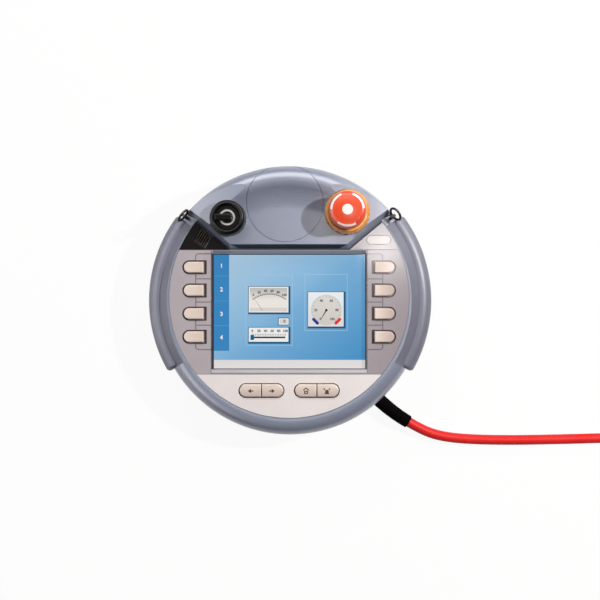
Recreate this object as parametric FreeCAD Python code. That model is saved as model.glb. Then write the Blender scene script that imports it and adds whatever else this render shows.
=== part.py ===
import FreeCAD
import Part
import math
import os

# Round handheld operator panel, lying face up. Millimetres, +Z out of the display, +Y to the hood.
# The origin is the centre of the round housing on the surface that the feet stand on.

# Heights, stacked up from the feet
foot_height = 3.0
block_height = 23.0
rear_rim_height = 14.0
deck_space = 13.0
deck_thickness = 5.0
panel_thickness = 4.0

rim_z = foot_height + block_height
split_z = rim_z + rear_rim_height
deck_z = split_z + deck_space
panel_z = deck_z + deck_thickness
face_z = panel_z + panel_thickness

# Round housing
housing_radius = 137.0
wall = 4.0
rim_floor = 3.5
ring_land_inset = 18.0
ring_shoulder_drop = 11.0
side_draft = 0.13
panel_inset = 17.0
panel_gap = 0.3
seam = 0.4
fit_gap = 0.15

# The plan is drawn for a housing of 137 mm radius, and its places and widths follow the housing
plan = housing_radius / 137.0
panel_shift = 2.5 * plan
rim_curve = 19.0 * plan
ring_land_radius = housing_radius - ring_land_inset * plan
panel_radius = housing_radius - panel_inset * plan

# Side grips: an inner band that slopes down from the panel, then a bulge round the rim
grip_top_angle = 37.2
grip_low_angle = -30.5
band_inset = 14.2
grip_seat_depth = 3.8
grip_seat_rise = 4.0
grip_proud = 6.8
grip_waist_rise = 3.0
grip_foot_drop = 7.6
grip_valley_drop = 9.0
grip_valley_inset = 2.2
grip_end_round = 4.0

band_radius = housing_radius - band_inset * plan
grip_radius = housing_radius + grip_proud
grip_seat_radius = housing_radius - grip_seat_depth
grip_seat_z = split_z + grip_seat_rise
cavity_radius = grip_seat_radius - wall

# Hood: a dished top with a rounded crest along the rim
hood_front_y = 50.6 * plan
hood_corner_x = 60.0 * plan
hood_angle = 40.0
hood_draft = 0.4
hood_wall = 6.0
hood_ceiling_rise = 3.5
dish_rise = 9.3
crest_rise = 19.0
crest_round = 13.5
crest_slope = 35.0
barrel_rise = 21.0
barrel_radius = 445.0
hood_cavity_inset = 10.0

hood_cavity_radius = housing_radius - hood_cavity_inset
hood_ceiling_z = face_z + hood_ceiling_rise
dish_z = face_z + dish_rise
crest_z = face_z + crest_rise
crest_low_z = crest_z - crest_round
hood_wall_radius = housing_radius - side_draft * (crest_low_z - split_z)
crest_radius = hood_wall_radius - crest_round

# Blank disc cover in the hood
disc_x = -3.5 * plan
disc_y = 96.0 * plan
disc_radius = 37.7 * plan
disc_gap = 0.4
disc_seat_depth = 3.8

# Display
display_width = 153.0 * plan
display_height = 115.2 * plan
display_y = -11.2 * plan
bezel_margin = 1.6
bezel_slope = 3.4
bezel_window_gap = 0.2
lower_edge_y = -73.8 * plan
glass_margin = 3.5
glass_thickness = 1.8
glass_gap = 0.3
lcd_inset = 1.0
lcd_thickness = 9.0

bezel_half_width = display_width / 2 + bezel_margin
glass_width = display_width + 2 * glass_margin
glass_height = display_height + 2 * glass_margin - 1.2

# Soft keys beside the display
key_length = 19.7 * plan
key_width = 10.7 * plan
key_inner_x = 85.5 * plan
key_top_y = 33.1 * plan
key_pitch = 23.17 * plan
key_count = 4
key_travel = 0.8
key_float = 0.1
key_rise = 2.2
key_side_gap = 0.5
key_flange = 1.1
key_flange_thickness = 1.0
key_flange_gap = 0.25
key_edge = 1.2
pocket_margin = 1.7
pocket_inner_margin = 3.0
pocket_depth = 1.2

# Keys below the display, in two pairs
lower_key_length = 21.4 * plan
lower_key_width = 12.6 * plan
lower_key_split = 0.8
lower_pair_x = 27.7 * plan
lower_key_y = -90.1 * plan
lower_pocket_margin = 1.2

# Bracket grooves between the soft keys and the display
groove_width = 1.0
groove_depth = 0.5
groove_x = 93.5 * plan
groove_round = 3.0
groove_top_y = 46.6 * plan
groove_low_y = -49.2 * plan

# Circuit boards
board_thickness = 1.6
board_margin = 1.5
board_gap = 0.2
main_board_width = 184.0 * plan
main_board_height = 140.0 * plan
main_boss_x = 85.0 * plan
main_boss_y = 62.0 * plan
main_boss_radius = 4.0
main_boss_height = 3.5

# Black corner grille and the buzzer below it
grille_slot_width = 0.9 * plan
grille_slot_pitch = 2.3 * plan
grille_slot_count = 6
grille_x = -87.0 * plan
grille_y = 63.0 * plan
grille_slot_length = 17.0 * plan
grille_slope = 60.0
corner_gap = 0.2
buzzer_radius = 9.0
buzzer_height = 10.0
sound_hole_radius = 6.0

# Blank badge
badge_x = 89.6 * plan
badge_y = 60.6 * plan
badge_length = 24.6 * plan
badge_width = 9.4 * plan
badge_thickness = 0.6

# Emergency stop
estop_x = 58.3 * plan
estop_y = 87.3 * plan
estop_seat_drop = 1.3
estop_collar_radius = 22.0 * plan
estop_collar_height = 14.0
estop_collar_bevel = 5.0
estop_collar_bore = 13.0 * plan
estop_rib_count = 24
estop_rib_notch = 0.9
estop_head_radius = 18.2 * plan
estop_head_height = 17.5
estop_head_round = 5.0
estop_head_crown = 1.0
estop_head_skirt = 3.5
estop_travel = 4.0
estop_stem_radius = 6.0
estop_block_size = 23.0 * plan
estop_block_height = 21.0
running_gap = 0.08

# Selector switch
selector_x = -59.2 * plan
selector_y = 81.0 * plan
selector_radius = 17.2 * plan
selector_height = 19.0
selector_lip_radius = 14.0 * plan
selector_recess_radius = 12.0 * plan
selector_recess_depth = 7.0
selector_shaft_radius = 4.0
selector_disc_gap = 0.3
selector_disc_thickness = 3.6
selector_bar_width = 6.4
selector_bar_height = 7.0
selector_bar_heel = 5.4
selector_ring_radius = 6.9 * plan
selector_ring_width = 1.7
selector_ring_height = 1.0
selector_block_size = 23.0 * plan
selector_block_height = 18.0
seat_gap = 0.15

# Strap lugs and rings at the tops of the grips
lug_angle = 38.9
lug_inset = 4.0
lug_thickness = 3.0
lug_width = 6.0
lug_depth = 12.0
lug_eye_rise = 6.0
ring_radius = 6.5
ring_wire = 1.2
ring_eye_gap = 0.3
right_ring_tilt = 64.0
left_ring_tilt = 84.0

lug_radius = housing_radius - lug_inset

# Rear block with the cable shaft, feet and enabling switches
block_width = 150.0 * plan
block_length = 184.0 * plan
block_corner = 35.0 * plan
block_edge = 6.0
block_floor = 5.0
foot_radius = 8.0
foot_recess = 1.2
foot_x = 52.0 * plan
foot_y = 68.0 * plan
cover_width = 84.0 * plan
cover_length = 52.0 * plan
cover_y = -28.0 * plan
cover_thickness = 2.5
cover_ledge = 8.0
cover_gap = 0.3
cover_corner = 6.0
lever_length = 60.0 * plan
lever_height = 13.0
lever_rise = 14.5
lever_proud = 3.4
lever_flange = 2.4
lever_flange_thickness = 2.0
lever_gap = 0.3
lever_travel = 3.5
lever_tail = 3.0
switch_length = 34.0
switch_depth = 18.0
switch_height = 16.0

# Housing screws and the gasket
screw_count = 8
screw_inset = 25.0
screw_head_radius = 3.5
screw_head_height = 2.6
screw_head_gap = 0.3
screw_socket = 3.0
screw_socket_depth = 1.5
screw_radius = 1.8
screw_hole_gap = 0.15
screw_reach = 8.0
screw_boss_radius = 5.0
gasket_width = 2.0
gasket_depth = 1.5

screw_circle = housing_radius - screw_inset * plan

# Cable: gland, bend sleeve, route, coil and plug
cable_radius = 5.25
gland_x = 66.8 * plan
gland_y = -79.5 * plan
gland_rise = 11.5
gland_heading = -45.0
gland_boss_radius = 11.0
gland_boss_reach = 14.0
gland_flats = 18.6
gland_nut_length = 8.0
gland_dome_radius = 8.6
gland_dome_length = 8.0
sleeve_radius = 7.4
sleeve_end_radius = 6.7
sleeve_end = (122.0, -127.3, 12.0)
cable_points = [sleeve_end, (139.03, -137.54, 9.71), (160.0, -143.8, 7.6), (188.0, -146.7, 6.2),
                (233.0, -147.6, 5.6), (290.0, -146.4, 6.0), (340.0, -144.8, 7.0), (384.0, -144.6, 7.2)]
coil_x = 412.0
coil_y = -82.0
coil_radius = 63.0
coil_columns = 2
coil_layers = 3
coil_round = 4.0
tie_width = 10.0
tie_thickness = 1.6
tie_gap = 0.3
tie_angle = 120.0
tie_corner = 5.0
tail_points = [(475.4, -56.0, 28.1), (476.4, -33.0, 23.5), (475.0, -8.0, 15.4), (475.0, 12.0, 15.4)]
plug_cone_length = 16.0
plug_shell_radius = 11.0
plug_shell_length = 26.0
plug_shoulder_radius = 13.4
plug_shoulder_length = 5.0
plug_nose_radius = 11.6
plug_nose_length = 25.0
plug_face_depth = 3.0
plug_pin_count = 6
plug_pin_circle = 6.0
plug_pin_radius = 0.9
plug_ring_radius = 15.0
plug_ring_length = 21.0
plug_ring_flutes = 18
plug_flute_radius = 1.2

coil_width = coil_columns * 2 * cable_radius
coil_height = coil_layers * 2 * cable_radius
coil_z = tie_thickness + tie_gap


def vec(x, y, z=0.0):
    return FreeCAD.Vector(x, y, z)


up = vec(0, 0, 1)
centre = vec(0, 0, 0)


def box(x0, x1, y0, y1, z0, z1):
    return Part.makeBox(x1 - x0, y1 - y0, z1 - z0, vec(x0, y0, z0))


def post(radius, z0, z1, x=0.0, y=0.0):
    return Part.makeCylinder(radius, z1 - z0, vec(x, y, z0))


def polygon(points, z):
    corners = [vec(x, y, z) for x, y in points]
    return Part.makePolygon(corners + corners[:1])


def prism(points, z0, z1):
    return Part.Face(polygon(points, z0)).extrude(vec(0, 0, z1 - z0))


def section(start, *steps):
    """Closed face in the XZ plane; a step is an end point, or a point on an arc and its end point."""
    edges = []
    here = start
    for step in steps + ((start,),):
        points = [vec(r, 0, z) for r, z in (here,) + step]
        if len(points) == 2:
            edges.append(Part.LineSegment(*points).toShape())
        else:
            edges.append(Part.Arc(*points).toShape())
        here = step[-1]
    return Part.Face(Part.Wire(edges))


def turned(face, start_angle=0.0, sweep=360.0, x=0.0, y=0.0):
    profile = face.copy()
    profile.rotate(centre, up, start_angle)
    solid = profile.revolve(centre, up, sweep)
    solid.translate(vec(x, y, 0))
    return solid


def rounded_plate(width, length, corner, z0, z1, x=0.0, y=0.0):
    plate = box(x - width / 2, x + width / 2, y - length / 2, y + length / 2, z0, z1)
    return plate.makeFillet(corner, [e for e in plate.Edges if is_upright(e)])


def is_upright(edge):
    a, b = edge.Vertexes[0].Point, edge.Vertexes[-1].Point
    return abs(a.x - b.x) < 1e-6 and abs(a.y - b.y) < 1e-6


def edges_at(shape, z):
    return [e for e in shape.Edges if all(abs(v.Point.z - z) < 1e-6 for v in e.Vertexes)
            and abs(e.CenterOfMass.z - z) < 1e-6]


def flat_arc(flat_end, other_end):
    """Point half way along the arc that leaves flat_end level and ends at other_end."""
    run = other_end[0] - flat_end[0]
    rise = other_end[1] - flat_end[1]
    radius = (run * run + rise * rise) / (2 * abs(rise))
    half = math.atan2(run, radius - abs(rise)) / 2
    lift = math.copysign(radius * (1 - math.cos(half)), rise)
    return (flat_end[0] + radius * math.sin(half), flat_end[1] + lift)


def mirrored(shape):
    return shape.mirror(centre, vec(1, 0, 0))


def at_heading(shape, origin, heading):
    """Place a shape made along +Z so that it points level along a heading in degrees."""
    direction = vec(math.cos(math.radians(heading)), math.sin(math.radians(heading)))
    placed = shape.copy()
    placed.Placement = FreeCAD.Placement(origin, FreeCAD.Rotation(up, direction)).multiply(placed.Placement)
    return placed


def panel_disc(radius, z0, z1):
    return post(radius, z0, z1, 0, panel_shift)


def hood_outline(inset):
    angle = math.radians(hood_angle)
    reach = housing_radius
    corner_x = hood_corner_x - inset * math.tan(angle / 2)
    front_y = hood_front_y + inset
    far_x = corner_x + reach * math.cos(angle)
    far_y = front_y + reach * math.sin(angle)
    back_y = far_y + housing_radius
    return [(-corner_x, front_y), (corner_x, front_y), (far_x, far_y), (far_x, back_y),
            (-far_x, back_y), (-far_x, far_y)]


def hood_block():
    """Block whose drafted front faces are the step from the panel up to the hood."""
    height = 2 * crest_rise
    low = polygon(hood_outline(0), panel_z)
    high = polygon(hood_outline(hood_draft * height), panel_z + height)
    return Part.makeLoft([low, high], True, True).fuse(prism(hood_outline(0), split_z, panel_z))


def hood_form():
    """Turned hood: side wall, crest, concave dish; the crest falls away to both ends."""
    slope = math.radians(crest_slope)
    low_z = crest_low_z
    wall_top = (hood_wall_radius, low_z)
    crest_mid = (crest_radius + crest_round * math.sin(math.pi / 6), low_z + crest_round * math.cos(math.pi / 6))
    crest_end = (crest_radius - crest_round * math.sin(slope), low_z + crest_round * math.cos(slope))
    hollow = (crest_end[1] - dish_z) / (1 - math.cos(slope))
    dish_radius = crest_end[0] - hollow * math.sin(slope)
    hollow_mid = (dish_radius + hollow * math.sin(slope / 2), dish_z + hollow * (1 - math.cos(slope / 2)))
    face = section((0, split_z), ((housing_radius, split_z),), (wall_top,), (crest_mid, crest_end),
                   (hollow_mid, (dish_radius, dish_z)), ((0, dish_z),))
    barrel = Part.makeCylinder(barrel_radius, 4 * housing_radius, vec(0, -2 * housing_radius, 0), vec(0, 1, 0))
    barrel.translate(vec(0, 0, face_z + barrel_rise - barrel_radius))
    return turned(face).common(hood_block()).common(barrel)


def ring_form():
    """Turned front half of the rim, rounded from the panel edge down to the side wall."""
    shoulder_z = face_z - ring_shoulder_drop
    shoulder = (housing_radius - side_draft * (shoulder_z - split_z), shoulder_z)
    land = (ring_land_radius, face_z)
    run = shoulder[0] - land[0]
    rounding = (land[0] + run * math.sin(math.radians(52)),
                face_z - ring_shoulder_drop * (1 - math.cos(math.radians(52))))
    return turned(section((0, split_z), ((housing_radius, split_z),), (shoulder,), (rounding, land),
                          ((0, face_z),)))


def grip_room(side_gap):
    """Space of the grips outside the rim's grip seat."""
    far = grip_radius + wall
    rise = grip_seat_radius - band_radius
    seat = grip_seat_radius - side_gap
    band = band_radius - side_gap
    face = section((seat, 0), ((seat, grip_seat_z),), ((band, grip_seat_z + rise),), ((band, 2 * face_z),),
                   ((far, 2 * face_z),), ((far, 0),))
    return turned(face, grip_low_angle, grip_top_angle - grip_low_angle)


def make_right_grip():
    rise = grip_seat_radius - band_radius
    valley = (grip_seat_radius - grip_valley_inset, face_z - grip_valley_drop)
    waist = (grip_radius, split_z + grip_waist_rise)
    foot = (grip_seat_radius, split_z - grip_foot_drop)
    over = (valley[0] + 0.72 * (waist[0] - valley[0]), waist[1] + 0.76 * (valley[1] - waist[1]))
    under = (foot[0] + 0.76 * (waist[0] - foot[0]), foot[1] + 0.28 * (waist[1] - foot[1]))
    face = section((band_radius, face_z - seam), (valley,), (over, waist), (under, foot),
                   ((grip_seat_radius, grip_seat_z),), ((band_radius, grip_seat_z + rise),))
    grip = turned(face, grip_low_angle, grip_top_angle - grip_low_angle)
    ends = []
    for edge in grip.Edges:
        point = edge.CenterOfMass
        angle = math.degrees(math.atan2(point.y, point.x))
        at_end = min(abs(angle - grip_low_angle), abs(angle - grip_top_angle)) < 0.01
        if at_end and math.hypot(point.x, point.y) > grip_seat_radius + 1:
            ends.append(edge)
    return grip.makeFillet(grip_end_round, ends)


def pocket_at(x, y, radius, depth_z):
    return post(radius, depth_z, crest_z + crest_rise, x, y)


def lug_frame():
    """Eye centre, outward and tangential directions of the right strap lug."""
    angle = math.radians(lug_angle)
    out = vec(math.cos(angle), math.sin(angle))
    along = vec(-math.sin(angle), math.cos(angle))
    eye = out * lug_radius + vec(0, 0, face_z + lug_eye_rise)
    return eye, out, along


def lug_blank(width, thickness, base_z, top_z):
    blank = box(-width / 2, width / 2, -thickness / 2, thickness / 2, base_z, top_z)
    blank.rotate(centre, up, lug_angle)
    blank.translate(lug_frame()[1] * lug_radius)
    return blank


def make_right_lug():
    eye, _, along = lug_frame()
    half = lug_thickness / 2
    plate = lug_blank(lug_width, lug_thickness, face_z - lug_depth, eye.z)
    head = Part.makeCylinder(lug_width / 2, lug_thickness, eye - along * half, along)
    hole = Part.makeCylinder(ring_wire + ring_eye_gap, 2 * lug_thickness, eye - along * lug_thickness, along)
    return plate.fuse(head).removeSplitter().cut(hole)


def make_right_ring(tilt):
    eye, out, along = lug_frame()
    lean = math.radians(tilt)
    lift = out * math.cos(lean) + up * math.sin(lean)
    return Part.makeTorus(ring_radius, ring_wire, eye + lift * ring_radius, along.cross(lift))


def key_centres():
    return [key_top_y - i * key_pitch for i in range(key_count)]


def lower_key_starts():
    """Square end and heading (+1 round end to +X) of the keys below the display."""
    half = lower_key_split / 2
    return [(x + side * half, side) for x in (-lower_pair_x, lower_pair_x) for side in (-1, 1)]


def d_shape(square_x, y, side, length, width, z0, z1):
    """Upright D: square end at square_x, round end on the given side."""
    round_x = square_x + side * (length - width / 2)
    body = box(min(square_x, round_x), max(square_x, round_x), y - width / 2, y + width / 2, z0, z1)
    return body.fuse(post(width / 2, z0, z1, round_x, y)).removeSplitter()


def make_key(square_x, y, side, length, width):
    base_z = panel_z + key_travel + key_float
    top_z = face_z + key_rise
    cap = d_shape(square_x, y, side, length, width, base_z, top_z)
    cap = cap.makeFillet(key_edge, edges_at(cap, top_z))
    inner = square_x if side_is_split(length) else square_x - side * key_flange
    flange = d_shape(inner, y, side, length + key_flange + abs(square_x - inner), width + 2 * key_flange,
                     base_z, base_z + key_flange_thickness)
    return cap.fuse(flange)


def side_is_split(length):
    """The keys below the display stand back to back, so their square ends carry no flange."""
    return length == lower_key_length


def key_room(square_x, y, side, length, width):
    """Hole for a cap and the wider room for its flange below."""
    gap = key_side_gap
    ceiling = panel_z + key_travel + key_float + key_flange_thickness + key_flange_gap
    hole = d_shape(square_x - side * gap, y, side, length + 2 * gap, width + 2 * gap, panel_z, face_z)
    reach = key_flange + gap
    room = d_shape(square_x - side * reach, y, side, length + 2 * reach, width + 2 * reach, panel_z, ceiling)
    return hole.fuse(room)


def soft_key_cuts():
    cuts = []
    floor = face_z - pocket_depth
    for y in key_centres():
        cuts.append(key_room(key_inner_x, y, 1, key_length, key_width))
        cuts.append(d_shape(key_inner_x - pocket_inner_margin, y, 1,
                            key_length + pocket_inner_margin + pocket_margin,
                            key_width + 2 * pocket_margin, floor, face_z))
    return cuts


def groove_bar(x0, x1, y0, y1):
    return box(x0, x1, y0, y1, face_z - groove_depth, face_z)


def groove_hook(edge_y, line_y):
    """Line from a key pocket that bends to the display edge."""
    half = groove_width / 2
    side = 1 if line_y > edge_y else -1
    bend_y = line_y - side * groove_round
    bend_x = groove_x - groove_round
    floor = face_z - groove_depth
    ring = post(groove_round + half, floor, face_z, bend_x, bend_y)
    ring = ring.cut(post(groove_round - half, floor, face_z, bend_x, bend_y))
    span = groove_round + groove_width
    quarter = ring.common(box(bend_x, bend_x + span, min(bend_y, bend_y + side * span),
                              max(bend_y, bend_y + side * span), floor, face_z))
    upright = groove_bar(groove_x - half, groove_x + half, min(edge_y, bend_y), max(edge_y, bend_y))
    level = groove_bar(bezel_half_width, bend_x, line_y - half, line_y + half)
    return [quarter, upright, level]


def groove_cuts():
    half = groove_width / 2
    reach = key_width / 2 + pocket_margin
    rows = key_centres()
    cuts = []
    for upper, lower in zip(rows, rows[1:]):
        middle = (upper + lower) / 2
        cuts.append(groove_bar(groove_x - half, groove_x + half, lower + reach, upper - reach))
        cuts.append(groove_bar(bezel_half_width, groove_x, middle - half, middle + half))
    cuts += groove_hook(rows[0] + reach, groove_top_y)
    cuts += groove_hook(rows[-1] - reach, groove_low_y)
    return cuts


def make_right_key_panel():
    half = seam / 2
    plate = panel_disc(panel_radius, panel_z, face_z)
    strip = box(bezel_half_width + half, 2 * panel_radius, lower_edge_y + half, hood_front_y - half,
                panel_z, face_z)
    return plate.common(strip).cut(soft_key_cuts() + groove_cuts())


def make_lower_key_panel():
    plate = panel_disc(panel_radius, panel_z, face_z)
    plate = plate.common(box(-2 * panel_radius, 2 * panel_radius, -2 * panel_radius, lower_edge_y - seam / 2,
                             panel_z, face_z))
    cuts = [key_room(x, lower_key_y, side, lower_key_length, lower_key_width)
            for x, side in lower_key_starts()]
    width = lower_key_width + 2 * lower_pocket_margin
    for x in (-lower_pair_x, lower_pair_x):
        length = 2 * lower_key_length + lower_key_split + 2 * lower_pocket_margin
        cuts.append(rounded_plate(length, width, width / 2 - 0.01, face_z - pocket_depth, face_z, x, lower_key_y))
    return plate.cut(cuts)


def corner_blank():
    """Right triangle between the hood, the grip and the key panel."""
    plate = panel_disc(panel_radius, panel_z, face_z)
    strip = box(0, 2 * panel_radius, hood_front_y + seam / 2, 2 * panel_radius, panel_z, face_z)
    return plate.common(strip).cut(prism(hood_outline(-corner_gap), panel_z, face_z))


def make_corner_grille():
    blank = mirrored(corner_blank())
    slots = []
    for i in range(grille_slot_count):
        offset = (i - (grille_slot_count - 1) / 2) * grille_slot_pitch
        slot = box(-grille_slot_length / 2, grille_slot_length / 2, offset - grille_slot_width / 2,
                   offset + grille_slot_width / 2, panel_z, face_z)
        slot.rotate(centre, up, grille_slope)
        slot.translate(vec(grille_x, grille_y))
        slots.append(slot)
    return blank.cut(slots)


def badge_form(gap):
    width = badge_width + 2 * gap
    return rounded_plate(badge_length + 2 * gap, width, width / 2 - 0.01, face_z - badge_thickness,
                         face_z, badge_x, badge_y)


def make_corner_panel():
    return corner_blank().cut(badge_form(fit_gap))


def board_span():
    """Corners of the right key board: x0, x1, y0, y1."""
    rows = key_centres()
    reach = key_width / 2 + key_flange + board_margin
    return (key_inner_x - key_flange - board_margin, key_inner_x + key_length + key_flange + board_margin,
            rows[-1] - reach, rows[0] + reach)


def lower_board_span():
    half_x = lower_pair_x + lower_key_split / 2 + lower_key_length + key_flange + board_margin
    half_y = lower_key_width / 2 + key_flange + board_margin
    return (-half_x, half_x, lower_key_y - half_y, lower_key_y + half_y)


def board(span, gap):
    x0, x1, y0, y1 = span
    return box(x0 - gap, x1 + gap, y0 - gap, y1 + gap, panel_z - board_thickness, panel_z)


def screw_places():
    step = 360.0 / screw_count
    angles = [math.radians((i + 0.5) * step) for i in range(screw_count)]
    return [(screw_circle * math.cos(a), screw_circle * math.sin(a)) for a in angles]


def screw_holes():
    return [post(screw_radius + screw_hole_gap, rim_z, deck_z - screw_reach + seam, x, y)
            for x, y in screw_places()]


def make_front_housing():
    hood = hood_form()
    body = ring_form().fuse(hood).removeSplitter()
    recess = panel_disc(panel_radius + panel_gap, panel_z, crest_z).cut(hood_block())
    under = grip_seat_z - 1.0
    cavity = turned(section((0, split_z), ((cavity_radius, split_z),), ((cavity_radius, under),),
                            ((cavity_radius - (deck_z - under), deck_z),), ((0, deck_z),)))
    hood_room = prism(hood_outline(hood_wall), split_z, hood_ceiling_z)
    hood_room = hood_room.common(post(hood_cavity_radius, split_z, hood_ceiling_z))
    opening = box(-glass_width / 2 - glass_gap, glass_width / 2 + glass_gap,
                  display_y - glass_height / 2 - glass_gap, display_y + glass_height / 2 + glass_gap,
                  deck_z, panel_z)
    disc_room = pocket_at(disc_x, disc_y, disc_radius + disc_gap, dish_z - disc_seat_depth)
    seat_z = dish_z - estop_seat_drop
    room = [recess, cavity, hood_room, opening, disc_room, grip_room(fit_gap), mirrored(grip_room(fit_gap))]
    room.append(pocket_at(estop_x, estop_y, estop_collar_radius + seat_gap, seat_z))
    room.append(pocket_at(selector_x, selector_y, selector_radius + seat_gap, seat_z))
    room.append(post(estop_stem_radius + running_gap, hood_ceiling_z, seat_z, estop_x, estop_y))
    room.append(post(selector_shaft_radius + running_gap, hood_ceiling_z, seat_z, selector_x, selector_y))
    right_board = board(board_span(), board_gap)
    room += [right_board, mirrored(right_board), board(lower_board_span(), board_gap)]
    room.append(post(sound_hole_radius, deck_z, panel_z, grille_x, grille_y))
    slot = lug_blank(lug_width + 2 * fit_gap, lug_thickness + 2 * fit_gap, face_z - lug_depth, crest_z)
    room += [slot, mirrored(slot)]
    bosses = [post(screw_boss_radius, split_z, hood_ceiling_z if y > hood_front_y else deck_z, x, y)
              for x, y in screw_places()]
    return body.cut(room).fuse(bosses).cut(screw_holes())


def make_round_cover():
    plug = pocket_at(disc_x, disc_y, disc_radius, dish_z - disc_seat_depth)
    return hood_form().common(plug)


def bowl(radius, flat, floor_z, top_z):
    edge = (radius, top_z)
    return turned(section((0, floor_z), ((flat, floor_z),), (flat_arc((flat, floor_z), edge), edge),
                          ((0, top_z),)))


def lever_window(gap, x0, x1):
    z = foot_height + lever_rise
    half_length = lever_length / 2 + gap
    half_height = lever_height / 2 + gap
    return box(x0, x1, -half_length, half_length, z - half_height, z + half_height)


def gland_rod(radius, start, length):
    origin = vec(gland_x, gland_y, foot_height + gland_rise)
    return at_heading(Part.makeCylinder(radius, length, vec(0, 0, start)), origin, gland_heading)


def make_rear_housing():
    body = bowl(housing_radius, housing_radius - rim_curve, rim_z, split_z)
    block = rounded_plate(block_width, block_length, block_corner, foot_height, rim_z + rim_floor)
    block = block.makeFillet(block_edge, edges_at(block, foot_height))
    body = body.fuse([block, gland_rod(gland_boss_radius, -block_corner / 2, block_corner / 2 + gland_boss_reach)])
    floor_z = rim_z + rim_floor
    inside = bowl(cavity_radius, cavity_radius - rim_curve + 2, floor_z, split_z)
    shaft = rounded_plate(block_width - 2 * wall, block_length - 2 * wall, block_corner - wall,
                          foot_height + block_floor, split_z)
    body = body.cut([inside, shaft])
    bosses = [post(screw_boss_radius, rim_z + screw_head_height, split_z, x, y) for x, y in screw_places()]
    for x in (-main_boss_x, main_boss_x):
        for y in (-main_boss_y, main_boss_y):
            bosses.append(post(main_boss_radius, rim_z + rim_floor / 2, floor_z + main_boss_height, x, y))
    body = body.fuse(bosses)
    room = screw_holes()
    head_radius = screw_head_radius + screw_head_gap
    room += [post(head_radius, rim_z, rim_z + screw_head_height, x, y) for x, y in screw_places()]
    room += [post(foot_radius + seat_gap, foot_height, foot_height + foot_recess, x, y) for x, y in foot_places()]
    room.append(cover_plate(cover_gap, foot_height, foot_height + cover_thickness))
    room.append(cover_plate(-cover_ledge, foot_height, foot_height + block_floor))
    side = block_width / 2
    window = lever_window(lever_gap, side - wall, side)
    room += [window, mirrored(window), grip_room(fit_gap), mirrored(grip_room(fit_gap))]
    room.append(gland_rod(cable_radius, -block_corner, block_corner + gland_boss_reach))
    room.append(gasket_form(fit_gap / 2))
    return body.cut(room)


def foot_places():
    return [(x, y) for x in (-foot_x, foot_x) for y in (-foot_y, foot_y)]


def make_rubber_feet():
    feet = []
    for x, y in foot_places():
        foot = post(foot_radius, 0, foot_height + foot_recess, x, y)
        feet.append(foot.makeFillet(foot_recess, edges_at(foot, 0)))
    return Part.makeCompound(feet)


def cover_plate(gap, z0, z1):
    return rounded_plate(cover_width + 2 * gap, cover_length + 2 * gap, max(cover_corner + gap, wall / 2),
                         z0, z1, 0, cover_y)


def make_shaft_cover():
    return cover_plate(0, foot_height, foot_height + cover_thickness)


def gasket_form(gap):
    middle = (cavity_radius + grip_seat_radius) / 2
    outer = post(middle + gasket_width / 2 + gap, split_z - gasket_depth, split_z)
    return outer.cut(post(middle - gasket_width / 2 - gap, split_z - gasket_depth, split_z))


def hexagon(flats):
    corner = flats / 2 / math.cos(math.pi / 6)
    return [(corner * math.cos(i * math.pi / 3), corner * math.sin(i * math.pi / 3)) for i in range(6)]


def make_rear_screws():
    head_z = rim_z + screw_head_height
    head = post(screw_head_radius, rim_z, head_z)
    screw = head.fuse(post(screw_radius, head_z, deck_z - screw_reach))
    screw = screw.cut(prism(hexagon(screw_socket), rim_z, rim_z + screw_socket_depth))
    screws = []
    for x, y in screw_places():
        placed = screw.copy()
        placed.translate(vec(x, y))
        screws.append(placed)
    return Part.makeCompound(screws)


def make_display_bezel():
    half = seam / 2
    frame = box(-bezel_half_width + half, bezel_half_width - half, lower_edge_y + half, hood_front_y - half,
                panel_z, face_z)
    half_width = display_width / 2 + bezel_window_gap
    low_y = display_y - display_height / 2 - bezel_window_gap
    high_y = display_y + display_height / 2 + bezel_window_gap
    window = box(-half_width, half_width, low_y, high_y, panel_z, face_z)
    ramp = Part.Face(Part.makePolygon([vec(-half_width, high_y, panel_z), vec(-half_width, high_y, face_z),
                                       vec(-half_width, high_y + bezel_slope, face_z),
                                       vec(-half_width, high_y, panel_z)]))
    return frame.cut([window, ramp.extrude(vec(2 * half_width, 0, 0))])


def display_plate(inset, z0, z1):
    return box(-glass_width / 2 + inset, glass_width / 2 - inset, display_y - glass_height / 2 + inset,
               display_y + glass_height / 2 - inset, z0, z1)


def make_lcd_module():
    top_z = panel_z - glass_thickness
    return display_plate(lcd_inset, top_z - lcd_thickness, top_z)


def make_main_board():
    z = rim_z + rim_floor + main_boss_height
    return box(-main_board_width / 2, main_board_width / 2, -main_board_height / 2, main_board_height / 2,
               z, z + board_thickness)


def make_estop_collar():
    low_z = dish_z - estop_seat_drop
    top_z = low_z + estop_collar_height
    bevel_z = top_z - estop_collar_bevel
    rim = estop_collar_radius - estop_collar_bevel / 2
    collar = turned(section((estop_collar_bore, low_z), ((estop_collar_radius, low_z),),
                            ((estop_collar_radius, bevel_z),), ((rim, top_z),), ((estop_collar_bore, top_z),)))
    notches = []
    for i in range(estop_rib_count):
        angle = 2 * math.pi * i / estop_rib_count
        notches.append(post(estop_rib_notch, bevel_z, top_z, estop_collar_radius * math.cos(angle),
                            estop_collar_radius * math.sin(angle)))
    collar = collar.cut(notches)
    collar.translate(vec(estop_x, estop_y))
    return collar


def estop_head_z():
    return dish_z - estop_seat_drop + estop_collar_height + estop_travel + 0.5


def make_estop_stem():
    top_z = estop_head_z() + estop_head_height / 2 - seam
    return post(estop_stem_radius, hood_ceiling_z - estop_travel, top_z, estop_x, estop_y)


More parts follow.
